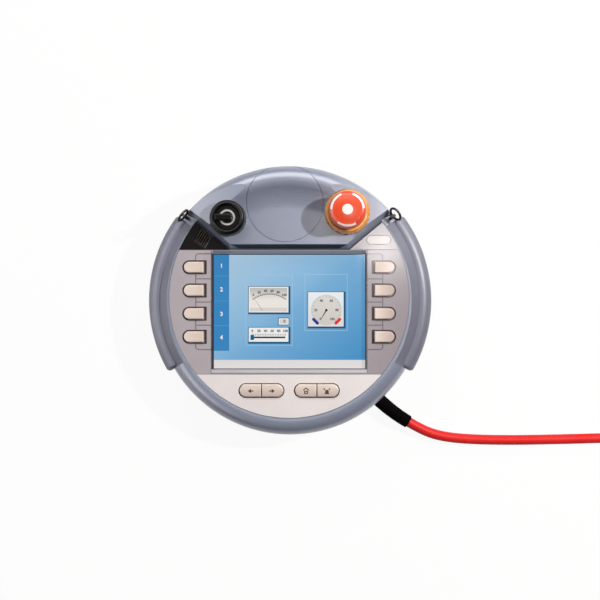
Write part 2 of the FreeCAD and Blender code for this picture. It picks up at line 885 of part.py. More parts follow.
def make_estop_head():
    low_z = estop_head_z()
    top_z = low_z + estop_head_height
    radius = estop_head_radius
    bore = estop_stem_radius + running_gap
    bore_z = low_z + estop_head_height / 2
    skirt_z = low_z + estop_head_skirt
    edge = (radius - estop_head_round, top_z - estop_head_crown)
    shoulder_z = edge[1] - estop_head_round
    corner = math.radians(45)
    edge_mid = (edge[0] + estop_head_round * math.cos(corner), shoulder_z + estop_head_round * math.sin(corner))
    face = section((bore, low_z), ((radius - estop_head_skirt, low_z),), ((radius, skirt_z),),
                   ((radius, shoulder_z),), (edge_mid, edge), (flat_arc((0, top_z), edge), (0, top_z)),
                   ((0, bore_z),), ((bore, bore_z),))
    return turned(face, 0, 360, estop_x, estop_y)


def contact_block(x, y, size, height, bore_radius, bore_depth):
    half = size / 2
    block = box(x - half, x + half, y - half, y + half, hood_ceiling_z - height, hood_ceiling_z)
    return block.cut(post(bore_radius, hood_ceiling_z - bore_depth, hood_ceiling_z, x, y))


def make_selector_bezel():
    low_z = dish_z - estop_seat_drop
    top_z = low_z + selector_height
    floor_z = top_z - selector_recess_depth
    bore = selector_shaft_radius + running_gap
    lip = selector_lip_radius
    outer = selector_radius - lip
    inner = lip - selector_recess_radius
    share = math.cos(math.radians(45))
    face = section((bore, low_z), ((selector_radius, low_z),), ((selector_radius, top_z - outer),),
                   ((lip + outer * share, top_z - outer * (1 - share)), (lip, top_z)),
                   ((lip - inner * share, top_z - inner * (1 - share)), (selector_recess_radius, top_z - inner)),
                   ((selector_recess_radius, floor_z),), ((bore, floor_z),))
    return turned(face, 0, 360, selector_x, selector_y)


def selector_disc_z():
    floor_z = dish_z - estop_seat_drop + selector_height - selector_recess_depth
    return floor_z + selector_disc_gap


def selector_bar(gap, z0, z1):
    """Grip bar of the rotor, pointing to -X."""
    half = selector_bar_width / 2 + gap
    reach = selector_recess_radius - selector_disc_gap
    bar = box(-reach, selector_bar_heel + gap, -half, half, z0, z1)
    bar = bar.common(post(reach, z0, z1))
    bar.translate(vec(selector_x, selector_y))
    return bar


def make_selector_rotor():
    low_z = selector_disc_z()
    top_z = low_z + selector_disc_thickness
    disc = post(selector_recess_radius - selector_disc_gap, low_z, top_z, selector_x, selector_y)
    shaft = post(selector_shaft_radius, hood_ceiling_z - estop_travel, low_z, selector_x, selector_y)
    bar = selector_bar(0, top_z, top_z + selector_bar_height)
    bar = bar.makeFillet(1.2, edges_at(bar, top_z + selector_bar_height))
    return disc.fuse([shaft, bar])


def make_selector_ring():
    z = selector_disc_z() + selector_disc_thickness
    half = selector_ring_width / 2
    ring = post(selector_ring_radius + half, z, z + selector_ring_height, selector_x, selector_y)
    ring = ring.cut(post(selector_ring_radius - half, z, z + selector_ring_height, selector_x, selector_y))
    return ring.cut(selector_bar(seat_gap, z, z + selector_ring_height))


def make_right_lever():
    side = block_width / 2
    z = foot_height + lever_rise
    inner = side - wall - lever_gap
    pad = lever_window(0, inner, side + lever_proud)
    pad = pad.makeFillet(lever_proud - 0.4, [e for e in pad.Edges if e.CenterOfMass.x > side + lever_proud - 0.01])
    half_length = lever_length / 2 + lever_flange
    half_height = lever_height / 2 + lever_flange
    flange = box(inner - lever_flange_thickness, inner, -half_length, half_length, z - half_height, z + half_height)
    tail = box(inner - lever_flange_thickness - lever_tail, inner - lever_flange_thickness, -lever_height / 2,
               lever_height / 2, z - lever_height / 4, z + lever_height / 4)
    return pad.fuse([flange, tail])


def make_right_switch():
    side = block_width / 2
    face_x = side - wall - lever_gap - lever_flange_thickness - lever_tail - lever_travel - lever_gap
    low_z = foot_height + block_floor
    return box(face_x - switch_depth, face_x, -switch_length / 2, switch_length / 2, low_z, low_z + switch_height)


def sleeve_start():
    reach = gland_boss_reach + gland_nut_length + gland_dome_length
    angle = math.radians(gland_heading)
    return vec(gland_x + reach * math.cos(angle), gland_y + reach * math.sin(angle), foot_height + gland_rise)


def make_cable_gland():
    nut_end = gland_boss_reach + gland_nut_length
    nut = prism(hexagon(gland_flats), gland_boss_reach, nut_end)
    dome = Part.makeCone(gland_dome_radius, sleeve_radius, gland_dome_length, vec(0, 0, nut_end))
    origin = vec(gland_x, gland_y, foot_height + gland_rise)
    return at_heading(nut.fuse(dome), origin, gland_heading)


def ring_at(edge, parameter, radius):
    return Part.Wire(Part.makeCircle(radius, edge.valueAt(parameter), edge.tangentAt(parameter)))


def swept(wire, radius):
    start = wire.OrderedEdges[0]
    return wire.makePipeShell([ring_at(start, start.FirstParameter, radius)], True, False)


def make_bend_sleeve():
    start = sleeve_start()
    angle = math.radians(gland_heading)
    heading = vec(math.cos(angle), math.sin(angle))
    end = vec(*sleeve_end)
    chord = end - start
    side = (heading - chord * (heading.dot(chord) / chord.dot(chord))).normalize()
    half_turn = heading.getAngle(chord)
    sag = chord.Length / 2 * math.tan(half_turn / 2)
    middle = (start + end) * 0.5 + side * sag
    arc = Part.Arc(start, middle, end).toShape()
    rings = [ring_at(arc, arc.FirstParameter, sleeve_radius), ring_at(arc, arc.LastParameter, sleeve_end_radius)]
    return Part.Wire([arc]).makePipeShell(rings, True, False)


def route(points):
    """Straight runs joined by tangent arcs as large as the two runs allow."""
    spots = [vec(*p) for p in points]
    edges = []
    radii = []
    here = spots[0]
    for before, corner, after in zip(spots, spots[1:], spots[2:]):
        back = before - corner
        ahead = after - corner
        turn = math.pi - back.getAngle(ahead)
        setback = 0.45 * min(back.Length, ahead.Length)
        radius = setback / math.tan(turn / 2)
        radii.append(radius)
        back.normalize()
        ahead.normalize()
        inward = (back + ahead).normalize()
        middle = corner + inward * (radius / math.cos(turn / 2) - radius)
        arc_start = corner + back * setback
        arc_end = corner + ahead * setback
        edges.append(Part.LineSegment(here, arc_start).toShape())
        edges.append(Part.Arc(arc_start, middle, arc_end).toShape())
        here = arc_end
    edges.append(Part.LineSegment(here, spots[-1]).toShape())
    return Part.Wire(edges), radii


def make_cord(name, points):
    wire, radii = route(points)
    cord = swept(wire, cable_radius)
    full = math.pi * cable_radius ** 2 * wire.Length
    print(name, "length", round(wire.Length, 1), "radii", [round(r) for r in radii],
          "volume share", round(cord.Volume / full, 4))
    return cord


def make_cable_coil():
    outer = post(coil_radius + coil_width / 2, coil_z, coil_z + coil_height, coil_x, coil_y)
    coil = outer.cut(post(coil_radius - coil_width / 2, coil_z, coil_z + coil_height, coil_x, coil_y))
    return coil.makeFillet(coil_round, edges_at(coil, coil_z) + edges_at(coil, coil_z + coil_height))


def tie_block(grow):
    """Block round the turns of the coil with rounded corners, larger by grow."""
    half = coil_width / 2 + tie_gap + grow
    block = box(-half, half, -tie_width / 2, tie_width / 2, tie_thickness - grow,
                coil_z + coil_height + tie_gap + grow)
    along = [e for e in block.Edges if abs(e.Vertexes[0].Point.y - e.Vertexes[1].Point.y) > tie_width / 2]
    return block.makeFillet(tie_corner - tie_thickness + grow, along)


def make_coil_tie():
    tie = tie_block(tie_thickness).cut(tie_block(0))
    angle = math.radians(tie_angle)
    tie.rotate(centre, up, tie_angle)
    tie.translate(vec(coil_x + coil_radius * math.cos(angle), coil_y + coil_radius * math.sin(angle)))
    return tie


def plug_placed(shape):
    """Plug pieces are turned about Z and laid along +Y behind the cable tail."""
    return at_heading(shape, vec(*tail_points[-1]), 90.0)


def make_plug_body():
    shell_z = plug_cone_length
    shoulder_z = shell_z + plug_shell_length
    nose_z = shoulder_z + plug_shoulder_length
    end_z = nose_z + plug_nose_length
    shell = plug_shell_radius
    nose = plug_nose_radius
    face = section((0, 0), ((cable_radius + 1.6, 0),), ((shell - 1.5, shell_z),), ((shell, shell_z + 1.5),),
                   ((shell, shoulder_z),), ((plug_shoulder_radius, shoulder_z),),
                   ((plug_shoulder_radius, nose_z),), ((nose, nose_z),), ((nose, end_z),),
                   ((nose - 1.4, end_z),), ((nose - 1.4, end_z - plug_face_depth),),
                   ((0, end_z - plug_face_depth),))
    return plug_placed(turned(face))


def make_plug_pins():
    """Contact pins on the floor of the plug's face: a ring of them and one in the middle."""
    floor_z = plug_cone_length + plug_shell_length + plug_shoulder_length + plug_nose_length - plug_face_depth
    step = 2 * math.pi / plug_pin_count
    places = [(0.0, 0.0)] + [(plug_pin_circle * math.cos(i * step), plug_pin_circle * math.sin(i * step))
                             for i in range(plug_pin_count)]
    tip_z = floor_z + plug_face_depth - seam
    pins = []
    for x, y in places:
        pin = post(plug_pin_radius, floor_z, tip_z, x, y)
        pins.append(plug_placed(pin.makeFillet(plug_pin_radius / 2, edges_at(pin, tip_z))))
    return Part.makeCompound(pins)


def make_plug_ring():
    low_z = plug_cone_length + plug_shell_length + plug_shoulder_length + seam / 2
    high_z = low_z + plug_ring_length
    ring = post(plug_ring_radius, low_z, high_z)
    flutes = []
    for i in range(plug_ring_flutes):
        angle = 2 * math.pi * (i + 0.5) / plug_ring_flutes
        flutes.append(post(plug_flute_radius, low_z + 2, high_z - 2, plug_ring_radius * math.cos(angle),
                           plug_ring_radius * math.sin(angle)))
    return plug_placed(ring.cut(flutes + [post(plug_nose_radius + running_gap, low_z, high_z)]))


def build():
    right_grip = make_right_grip()
    right_panel = make_right_key_panel()
    right_board = board(board_span(), 0)
    right_lug = make_right_lug()
    right_lever = make_right_lever()
    right_switch = make_right_switch()
    parts = {
        "rear_housing": make_rear_housing(), "front_housing": make_front_housing(),
        "housing_gasket": gasket_form(0), "rear_screws": make_rear_screws(), "rubber_feet": make_rubber_feet(),
        "right_grip": right_grip, "left_grip": mirrored(right_grip),
        "round_cover": make_round_cover(), "shaft_cover": make_shaft_cover(),
        "right_key_panel": right_panel, "left_key_panel": mirrored(right_panel),
        "lower_key_panel": make_lower_key_panel(),
        "corner_grille": make_corner_grille(), "corner_panel": make_corner_panel(), "badge_plate": badge_form(0),
        "display_bezel": make_display_bezel(),
        "touch_glass": display_plate(0, panel_z - glass_thickness, panel_z), "lcd_module": make_lcd_module(),
        "right_key_board": right_board, "left_key_board": mirrored(right_board),
        "lower_key_board": board(lower_board_span(), 0), "main_board": make_main_board(),
        "buzzer": post(buzzer_radius, deck_z - buzzer_height, deck_z, grille_x, grille_y),
        "estop_collar": make_estop_collar(), "estop_stem": make_estop_stem(), "estop_head": make_estop_head(),
        "estop_block": contact_block(estop_x, estop_y, estop_block_size, estop_block_height,
                                     estop_stem_radius + seam, 2 * estop_travel + seam),
        "selector_bezel": make_selector_bezel(), "selector_rotor": make_selector_rotor(),
        "selector_ring": make_selector_ring(),
        "selector_block": contact_block(selector_x, selector_y, selector_block_size, selector_block_height,
                                        selector_shaft_radius + seam, estop_travel + seam),
        "right_strap_lug": right_lug, "left_strap_lug": mirrored(right_lug),
        "right_strap_ring": make_right_ring(right_ring_tilt),
        "left_strap_ring": mirrored(make_right_ring(left_ring_tilt)),
        "right_enable_lever": right_lever, "left_enable_lever": mirrored(right_lever),
        "right_enable_switch": right_switch, "left_enable_switch": mirrored(right_switch),
        "cable_gland": make_cable_gland(), "bend_sleeve": make_bend_sleeve(),
        "cable": make_cord("cable", cable_points), "cable_coil": make_cable_coil(), "coil_tie": make_coil_tie(),
        "cable_tail": make_cord("cable_tail", tail_points),
        "plug_body": make_plug_body(), "plug_pins": make_plug_pins(), "plug_ring": make_plug_ring(),
    }
    for i, y in enumerate(key_centres(), 1):
        key = make_key(key_inner_x, y, 1, key_length, key_width)
        parts["right_key_%d" % i] = key
        parts["left_key_%d" % i] = mirrored(key)
    for i, (x, side) in enumerate(lower_key_starts(), 1):
        parts["lower_key_%d" % i] = make_key(x, lower_key_y, side, lower_key_length, lower_key_width)
    return parts


os.makedirs("parts", exist_ok=True)
for node, shape in build().items():
    shape.exportStep("parts/%s.step" % node)
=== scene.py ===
import bmesh
import bpy
import math
from contextlib import contextmanager
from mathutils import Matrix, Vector


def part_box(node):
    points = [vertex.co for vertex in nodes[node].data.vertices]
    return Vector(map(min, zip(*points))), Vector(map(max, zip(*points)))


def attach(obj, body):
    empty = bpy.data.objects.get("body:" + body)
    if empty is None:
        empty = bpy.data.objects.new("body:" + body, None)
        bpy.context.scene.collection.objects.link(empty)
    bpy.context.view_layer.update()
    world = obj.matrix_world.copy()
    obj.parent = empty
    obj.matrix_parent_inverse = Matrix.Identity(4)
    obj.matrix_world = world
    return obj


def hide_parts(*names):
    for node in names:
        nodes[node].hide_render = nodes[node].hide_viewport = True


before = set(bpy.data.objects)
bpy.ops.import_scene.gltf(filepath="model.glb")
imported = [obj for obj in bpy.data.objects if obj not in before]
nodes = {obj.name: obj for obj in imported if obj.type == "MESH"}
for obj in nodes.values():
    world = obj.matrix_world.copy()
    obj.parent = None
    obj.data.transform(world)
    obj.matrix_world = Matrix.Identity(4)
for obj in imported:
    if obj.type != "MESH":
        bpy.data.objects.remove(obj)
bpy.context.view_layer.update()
print("frame loaded:", len(nodes), "nodes")


# camera, straight above and a little to the right of the housing

viewSet = {"place": (0.056, 0.0, 1.062), "lens": 60.0, "sensor": 36.0, "shiftX": -0.0753, "shiftY": 0.0007}


def placeCamera():
    bpy.ops.object.camera_add(location=viewSet["place"], rotation=(0, 0, 0))
    camera = bpy.context.object
    camera.name = "topCamera"
    camera.data.lens = viewSet["lens"]
    camera.data.sensor_width = viewSet["sensor"]
    camera.data.shift_x = viewSet["shiftX"]
    camera.data.shift_y = viewSet["shiftY"]
    bpy.context.scene.camera = camera


placeCamera()
bpy.context.scene.view_settings.view_transform = "Standard"
print("camera set")


# small helpers for colours and shader nodes

def tone(red, green, blue):
    # screen colour 0-255 to a linear colour
    parts = [c / 255.0 for c in (red, green, blue)]
    return tuple(c / 12.92 if c <= 0.04045 else ((c + 0.055) / 1.055) ** 2.4 for c in parts) + (1.0,)


def feed(tree, node, inputs):
    # numbers and colours are set, outputs of other nodes are linked
    for label, value in inputs.items():
        if isinstance(value, (int, float, tuple)):
            node.inputs[label].default_value = value
        else:
            tree.links.new(value, node.inputs[label])


def addNode(tree, kind, inputs=None, **values):
    node = tree.nodes.new(kind)
    for key, value in values.items():
        setattr(node, key, value)
    feed(tree, node, inputs or {})
    return node


def mathNode(tree, operation, first, second=0.0):
    return addNode(tree, "ShaderNodeMath", {0: first, 1: second}, operation=operation).outputs[0]


def fadeNode(tree, value, span, start=0.0, end=1.0, kind="LINEAR"):
    # goes from one level to the other while the value crosses the span
    inputs = {"Value": value, "From Min": span[0], "From Max": span[1], "To Min": start, "To Max": end}
    return addNode(tree, "ShaderNodeMapRange", inputs, interpolation_type=kind).outputs["Result"]


def noiseNode(tree, vector, scale, detail, rough=0.5):
    inputs = {"Vector": vector, "Scale": scale, "Detail": detail, "Roughness": rough}
    return addNode(tree, "ShaderNodeTexNoise", inputs).outputs["Fac"]


def mixNode(tree, factor, first, second, blend="MIX"):
    # a mix of colours uses these of the node's sockets
    inputs = {0: factor, 6: first, 7: second}
    return addNode(tree, "ShaderNodeMix", inputs, data_type="RGBA", blend_type=blend).outputs[2]


def mixShaders(tree, factor, first, second):
    return addNode(tree, "ShaderNodeMixShader", {0: factor, 1: first.outputs[0], 2: second.outputs[0]})


def splitAxes(tree, vector):
    return addNode(tree, "ShaderNodeSeparateXYZ", {0: vector}).outputs


def blankMaterial(name):
    material = bpy.data.materials.new(name)
    material.use_nodes = True
    material.node_tree.nodes.clear()
    return material, material.node_tree


def pickRays(tree, *kinds):
    # 1 for rays of these kinds, 0 for the rest
    rays = addNode(tree, "ShaderNodeLightPath")
    found = rays.outputs[kinds[0]]
    for kind in kinds[1:]:
        found = mathNode(tree, "MAXIMUM", found, rays.outputs[kind])
    return found


# lamps, floor and world

lampSet = [
    {"name": "keyLamp", "place": (0.95, 0.30, 1.10), "aim": (0.03, 0.05, 0.06), "size": (0.04, 0.04),
     "power": 16.8, "tint": (1.0, 0.96, 0.93), "mirrored": True},
    {"name": "backStrip", "place": (-0.10, 1.25, 0.85), "aim": (0.0, 0.03, 0.05), "size": (1.0, 0.25),
     "power": 9.2, "tint": (1.0, 0.97, 0.96), "mirrored": False},
    {"name": "leftSoftbox", "place": (-1.0, 0.1, 0.75), "aim": (0.0, 0.0, 0.04), "size": (0.6, 0.6),
     "power": 1.5, "tint": (0.96, 0.97, 1.0), "mirrored": True},
    {"name": "topLamp", "place": (0.142, 0.125, 1.3), "aim": (0.1, 0.05, 0.06), "size": (0.07, 0.07),
     "power": 1.15, "tint": (1.0, 0.98, 0.97), "mirrored": True},
    {"name": "lowLamp", "place": (-1.0, -0.12, 0.18), "aim": (-0.08, 0.05, 0.067), "size": (0.5, 0.12),
     "power": 1.2, "tint": (0.97, 0.98, 1.0), "mirrored": True},
]
stageSet = {"floorSize": 8.0, "floorTint": (0.55, 0.55, 0.55, 1.0), "floorGlow": 0.88, "glowPower": 1.06,
            "ambient": 0.05, "ambientTint": (0.96, 0.98, 1.0, 1.0), "white": (1.0, 1.0, 1.0, 1.0)}
# levels of the mirrored walls and strips, and where along x, y or z each of them fades in
roomSet = {
    "tint": (1.0, 0.96, 0.945, 1.0), "ceiling": 0.05,
    "wallFoot": (0.42, 0.60), "wallTop": (0.98, 0.88),
    "backWall": 5.8, "backSpan": (0.18, 0.45), "leftWall": 3.8, "leftSpan": (-0.25, -0.6),
    "stripFoot": (-0.4, -0.1), "stripTop": (0.42, 0.26),
    "leftStrip": 1.6, "leftStripX": (-0.5, -0.85),
    "rightStrip": 5.0, "rightStripX": (0.3, 0.5), "rightStripY": (0.25, 0.5),
}


def placeLamps():
    for lamp in lampSet:
        bpy.ops.object.light_add(type="AREA", location=lamp["place"])
        light = bpy.context.object
        light.name = lamp["name"]
        light.data.shape = "RECTANGLE"
        light.data.size, light.data.size_y = lamp["size"]
        light.data.color = lamp["tint"]
        light.data.energy = lamp["power"]
        aim = Vector(lamp["aim"]) - Vector(lamp["place"])
        light.rotation_euler = aim.to_track_quat("-Z", "Y").to_euler()
        light.visible_glossy = lamp["mirrored"]


def mirroredRoom(tree):
    # what shiny surfaces mirror: a dim room with a bright wall behind and one on the left
    coords = addNode(tree, "ShaderNodeTexCoord")
    x, y, z = splitAxes(tree, coords.outputs["Generated"])

    def soft(value, span, level=1.0):
        return fadeNode(tree, value, roomSet[span], 0.0, level, "SMOOTHSTEP")

    def times(first, second):
        return mathNode(tree, "MULTIPLY", first, second)

    back = soft(y, "backSpan", roomSet["backWall"])
    left = soft(x, "leftSpan", roomSet["leftWall"])
    walls = times(times(soft(z, "wallFoot"), soft(z, "wallTop")), mathNode(tree, "MAXIMUM", back, left))
    # low bright strips that only the grips and the rim mirror upwards
    lowLeft = soft(x, "leftStripX", roomSet["leftStrip"])
    lowRight = times(soft(x, "rightStripX"), soft(y, "rightStripY", roomSet["rightStrip"]))
    height = times(soft(z, "stripFoot"), soft(z, "stripTop"))
    strips = times(height, mathNode(tree, "ADD", lowLeft, lowRight))
    return mathNode(tree, "ADD", mathNode(tree, "ADD", walls, strips), roomSet["ceiling"])


def placeWorld():
    # white for the camera and through glass, the room in mirrors, soft light for the rest
    world = bpy.data.worlds.new("paleRoom")
    bpy.context.scene.world = world
    world.use_nodes = True
    tree = world.node_tree
    tree.nodes.clear()
    soft = addNode(tree, "ShaderNodeBackground", {"Color": stageSet["ambientTint"],
                                                  "Strength": stageSet["ambient"]})
    mirrored = addNode(tree, "ShaderNodeBackground", {"Color": roomSet["tint"],
                                                      "Strength": mirroredRoom(tree)})
    white = addNode(tree, "ShaderNodeBackground", {"Color": stageSet["white"]})
    unseen = mixShaders(tree, pickRays(tree, "Is Glossy Ray"), soft, mirrored)
    room = mixShaders(tree, pickRays(tree, "Is Camera Ray", "Is Transmission Ray"), unseen, white)
    addNode(tree, "ShaderNodeOutputWorld", {"Surface": room.outputs[0]})


def placeFloor():
    # glows white where it is seen or mirrored, and stays matte for the light that reaches the part
    bpy.ops.mesh.primitive_plane_add(size=stageSet["floorSize"], location=(0, 0, 0))
    floor = bpy.context.object
    floor.name = "paleFloor"
    material, tree = blankMaterial("paleFloor")
    matte = addNode(tree, "ShaderNodeBsdfDiffuse", {"Color": stageSet["floorTint"]})
    glow = addNode(tree, "ShaderNodeEmission", {"Strength": stageSet["glowPower"]})
    seen = pickRays(tree, "Is Camera Ray", "Is Transmission Ray", "Is Glossy Ray")
    both = mixShaders(tree, mathNode(tree, "MULTIPLY", seen, stageSet["floorGlow"]), matte, glow)
    addNode(tree, "ShaderNodeOutputMaterial", {"Surface": both.outputs[0]})
    floor.data.materials.append(material)


placeLamps()
placeWorld()
placeFloor()
print("lamps, room and floor set")


# shared effects for the finishes

grainSet = {"scale": 1500.0, "drift": 22.0, "fineNoise": (2.0, 0.6), "driftNoise": (4.0, 0.55),
            "hairTurn": (0.0, 0.0, 0.7), "hairScale": (30.0, 620.0, 60.0), "hairNoise": (1.0, 3.0, 0.7),
            "hairSpan": (0.66, 0.74)}
rimSet = {"patch": 120.0, "upper": (0.96, 0.82), "lower": (0.12, 0.4), "patchNoise": (4.0, 0.65),
          "patchSpan": (0.45, 0.68)}


def newGroup(name, ins, outs):
    group = bpy.data.node_groups.new(name, "ShaderNodeTree")
    for label, kind, value in ins:
        socket = group.interface.new_socket(name=label, in_out="INPUT", socket_type=kind)
        if value is not None:
            socket.default_value = value
    for label in outs:
        group.interface.new_socket(name=label, in_out="OUTPUT", socket_type="NodeSocketFloat")
    return group, group.nodes.new("NodeGroupInput"), group.nodes.new("NodeGroupOutput")


def makeGrainGroup():
    # fine mould grain, slow colour drift and handling marks
    group, enter, leave = newGroup("mouldGrain", [
        ("Vector", "NodeSocketVector", None), ("Grain Scale", "NodeSocketFloat", grainSet["scale"]),
        ("Drift Scale", "NodeSocketFloat", grainSet["drift"])], ["Height", "Drift", "Marks"])
    place = enter.outputs["Vector"]
    fine = noiseNode(group, place, enter.outputs["Grain Scale"], *grainSet["fineNoise"])
    drift = noiseNode(group, place, enter.outputs["Drift Scale"], *grainSet["driftNoise"])
    turn = addNode(group, "ShaderNodeMapping", {"Vector": place, "Rotation": grainSet["hairTurn"],
                                                "Scale": grainSet["hairScale"]})
    hair = noiseNode(group, turn.outputs["Vector"], *grainSet["hairNoise"])
    marks = fadeNode(group, hair, grainSet["hairSpan"])
    feed(group, leave, {"Height": fine, "Drift": drift, "Marks": marks})
    return group


def makeRimGroup():
    # rounded rims, found by their slanted normals, worn in patches
    group, enter, leave = newGroup("rimWear", [
        ("Vector", "NodeSocketVector", None), ("Normal", "NodeSocketVector", None),
        ("Patch Scale", "NodeSocketFloat", rimSet["patch"])], ["Wear"])
    lean = mathNode(group, "ABSOLUTE", splitAxes(group, enter.outputs["Normal"])["Z"])
    upper = fadeNode(group, lean, rimSet["upper"])
    lower = fadeNode(group, lean, rimSet["lower"])
    rim = mathNode(group, "MULTIPLY", upper, lower)
    patch = noiseNode(group, enter.outputs["Vector"], enter.outputs["Patch Scale"], *rimSet["patchNoise"])
    worn = fadeNode(group, patch, rimSet["patchSpan"])
    feed(group, leave, {"Wear": mathNode(group, "MULTIPLY", rim, worn)})
    return group


grainGroup = makeGrainGroup()
rimGroup = makeRimGroup()


def startFinish(name):
    material, tree = blankMaterial(name)
    shader = addNode(tree, "ShaderNodeBsdfPrincipled")
    addNode(tree, "ShaderNodeOutputMaterial", {"Surface": shader.outputs["BSDF"]})
    return material, tree, shader, addNode(tree, "ShaderNodeTexCoord").outputs["Object"]


mouldSet = {"toneSpan": (0.3, 0.7), "roughSpan": (0.25, 0.75), "roughDrift": 0.05, "bumpReach": 0.0004}


def moulded(name, light, dark, rough, grain=1500.0, depth=0.25, wear=0.0, wornTone=None, drift=22.0,
            marks=0.12, metal=0.0, coat=0.0, coatRough=0.1, shine=0.5, paintedFades=()):
    # a moulded or painted surface: grain, drift between two tones, handling marks and worn rims; each
    # painted fade
    # brings in a tone along an axis: painted shade where the tone is darker, painted highlight where it is
    # lighter
    material, tree, shader, place = startFinish(name)
    grainInputs = {"Vector": place, "Grain Scale": grain, "Drift Scale": drift}
    grainNode = addNode(tree, "ShaderNodeGroup", grainInputs, node_tree=grainGroup)
    slow = grainNode.outputs["Drift"]
    colour = mixNode(tree, fadeNode(tree, slow, mouldSet["toneSpan"]), tone(*dark), tone(*light))
    if wear > 0:
        normal = addNode(tree, "ShaderNodeNewGeometry").outputs["Normal"]
        rim = addNode(tree, "ShaderNodeGroup", {"Vector": place, "Normal": normal}, node_tree=rimGroup)
        share = mathNode(tree, "MULTIPLY", rim.outputs["Wear"], wear)
        colour = mixNode(tree, share, colour, tone(*wornTone))
    axes = splitAxes(tree, place)
    for (axis, *span), paintedTone in paintedFades:
        colour = mixNode(tree, fadeNode(tree, axes[axis], span), colour, tone(*paintedTone))
    change = mouldSet["roughDrift"]
    uneven = fadeNode(tree, slow, mouldSet["roughSpan"], rough + change, rough - change)
    rubbed = mathNode(tree, "MULTIPLY", grainNode.outputs["Marks"], -marks)
    bump = addNode(tree, "ShaderNodeBump", {"Strength": depth, "Distance": mouldSet["bumpReach"],
                                            "Height": grainNode.outputs["Height"]})
    feed(tree, shader, {
        "Base Color": colour, "Roughness": mathNode(tree, "ADD", uneven, rubbed), "Metallic": metal,
        "Specular IOR Level": shine, "Coat Weight": coat, "Coat Roughness": coatRough,
        "Normal": bump.outputs["Normal"]})
    return material


# where along an axis a finish fades into painted shade and painted highlight
paintedLightSet = {
    # painted shade on the panels: the silver one darker towards the right, both darker below their face in
    # the recesses
    "panelRight": ("X", 0.0, 0.125), "panelRecessShade": ("Z", 0.06195, 0.0612),
    # painted shade on the bezel's top strip and foot, painted highlight on its low strip
    "bezelTop": ("Y", 0.0452, 0.0462), "bezelLowHighlight": ("Y", -0.0690, -0.0700),
    "bezelFoot": ("Y", -0.0720, -0.0727),
    # painted shade across the keys towards one side, painted highlight on the top right key towards the
    # right
    "leftKeyShaded": ("X", -0.1035, -0.0855), "rightTopHighlight": ("X", 0.0900, 0.1050),
    "rightKeyShaded": ("X", 0.0870, 0.1050), "lowerKeyShaded": ("Y", -0.0860, -0.0945),
}


# beige keys that fade across each key: painted shade on the left, right and lower keys, a painted highlight
# on the top right key
def keyFinish(name, paintedFadeKey, paintedTone):
    return moulded(name, (238, 223, 212), (228, 212, 201), rough=0.34, grain=2400, depth=0.06, wear=0.5,
                   wornTone=(244, 234, 226), drift=90.0, marks=0.04, shine=0.35,
                   paintedFades=[(paintedLightSet[paintedFadeKey], paintedTone)])


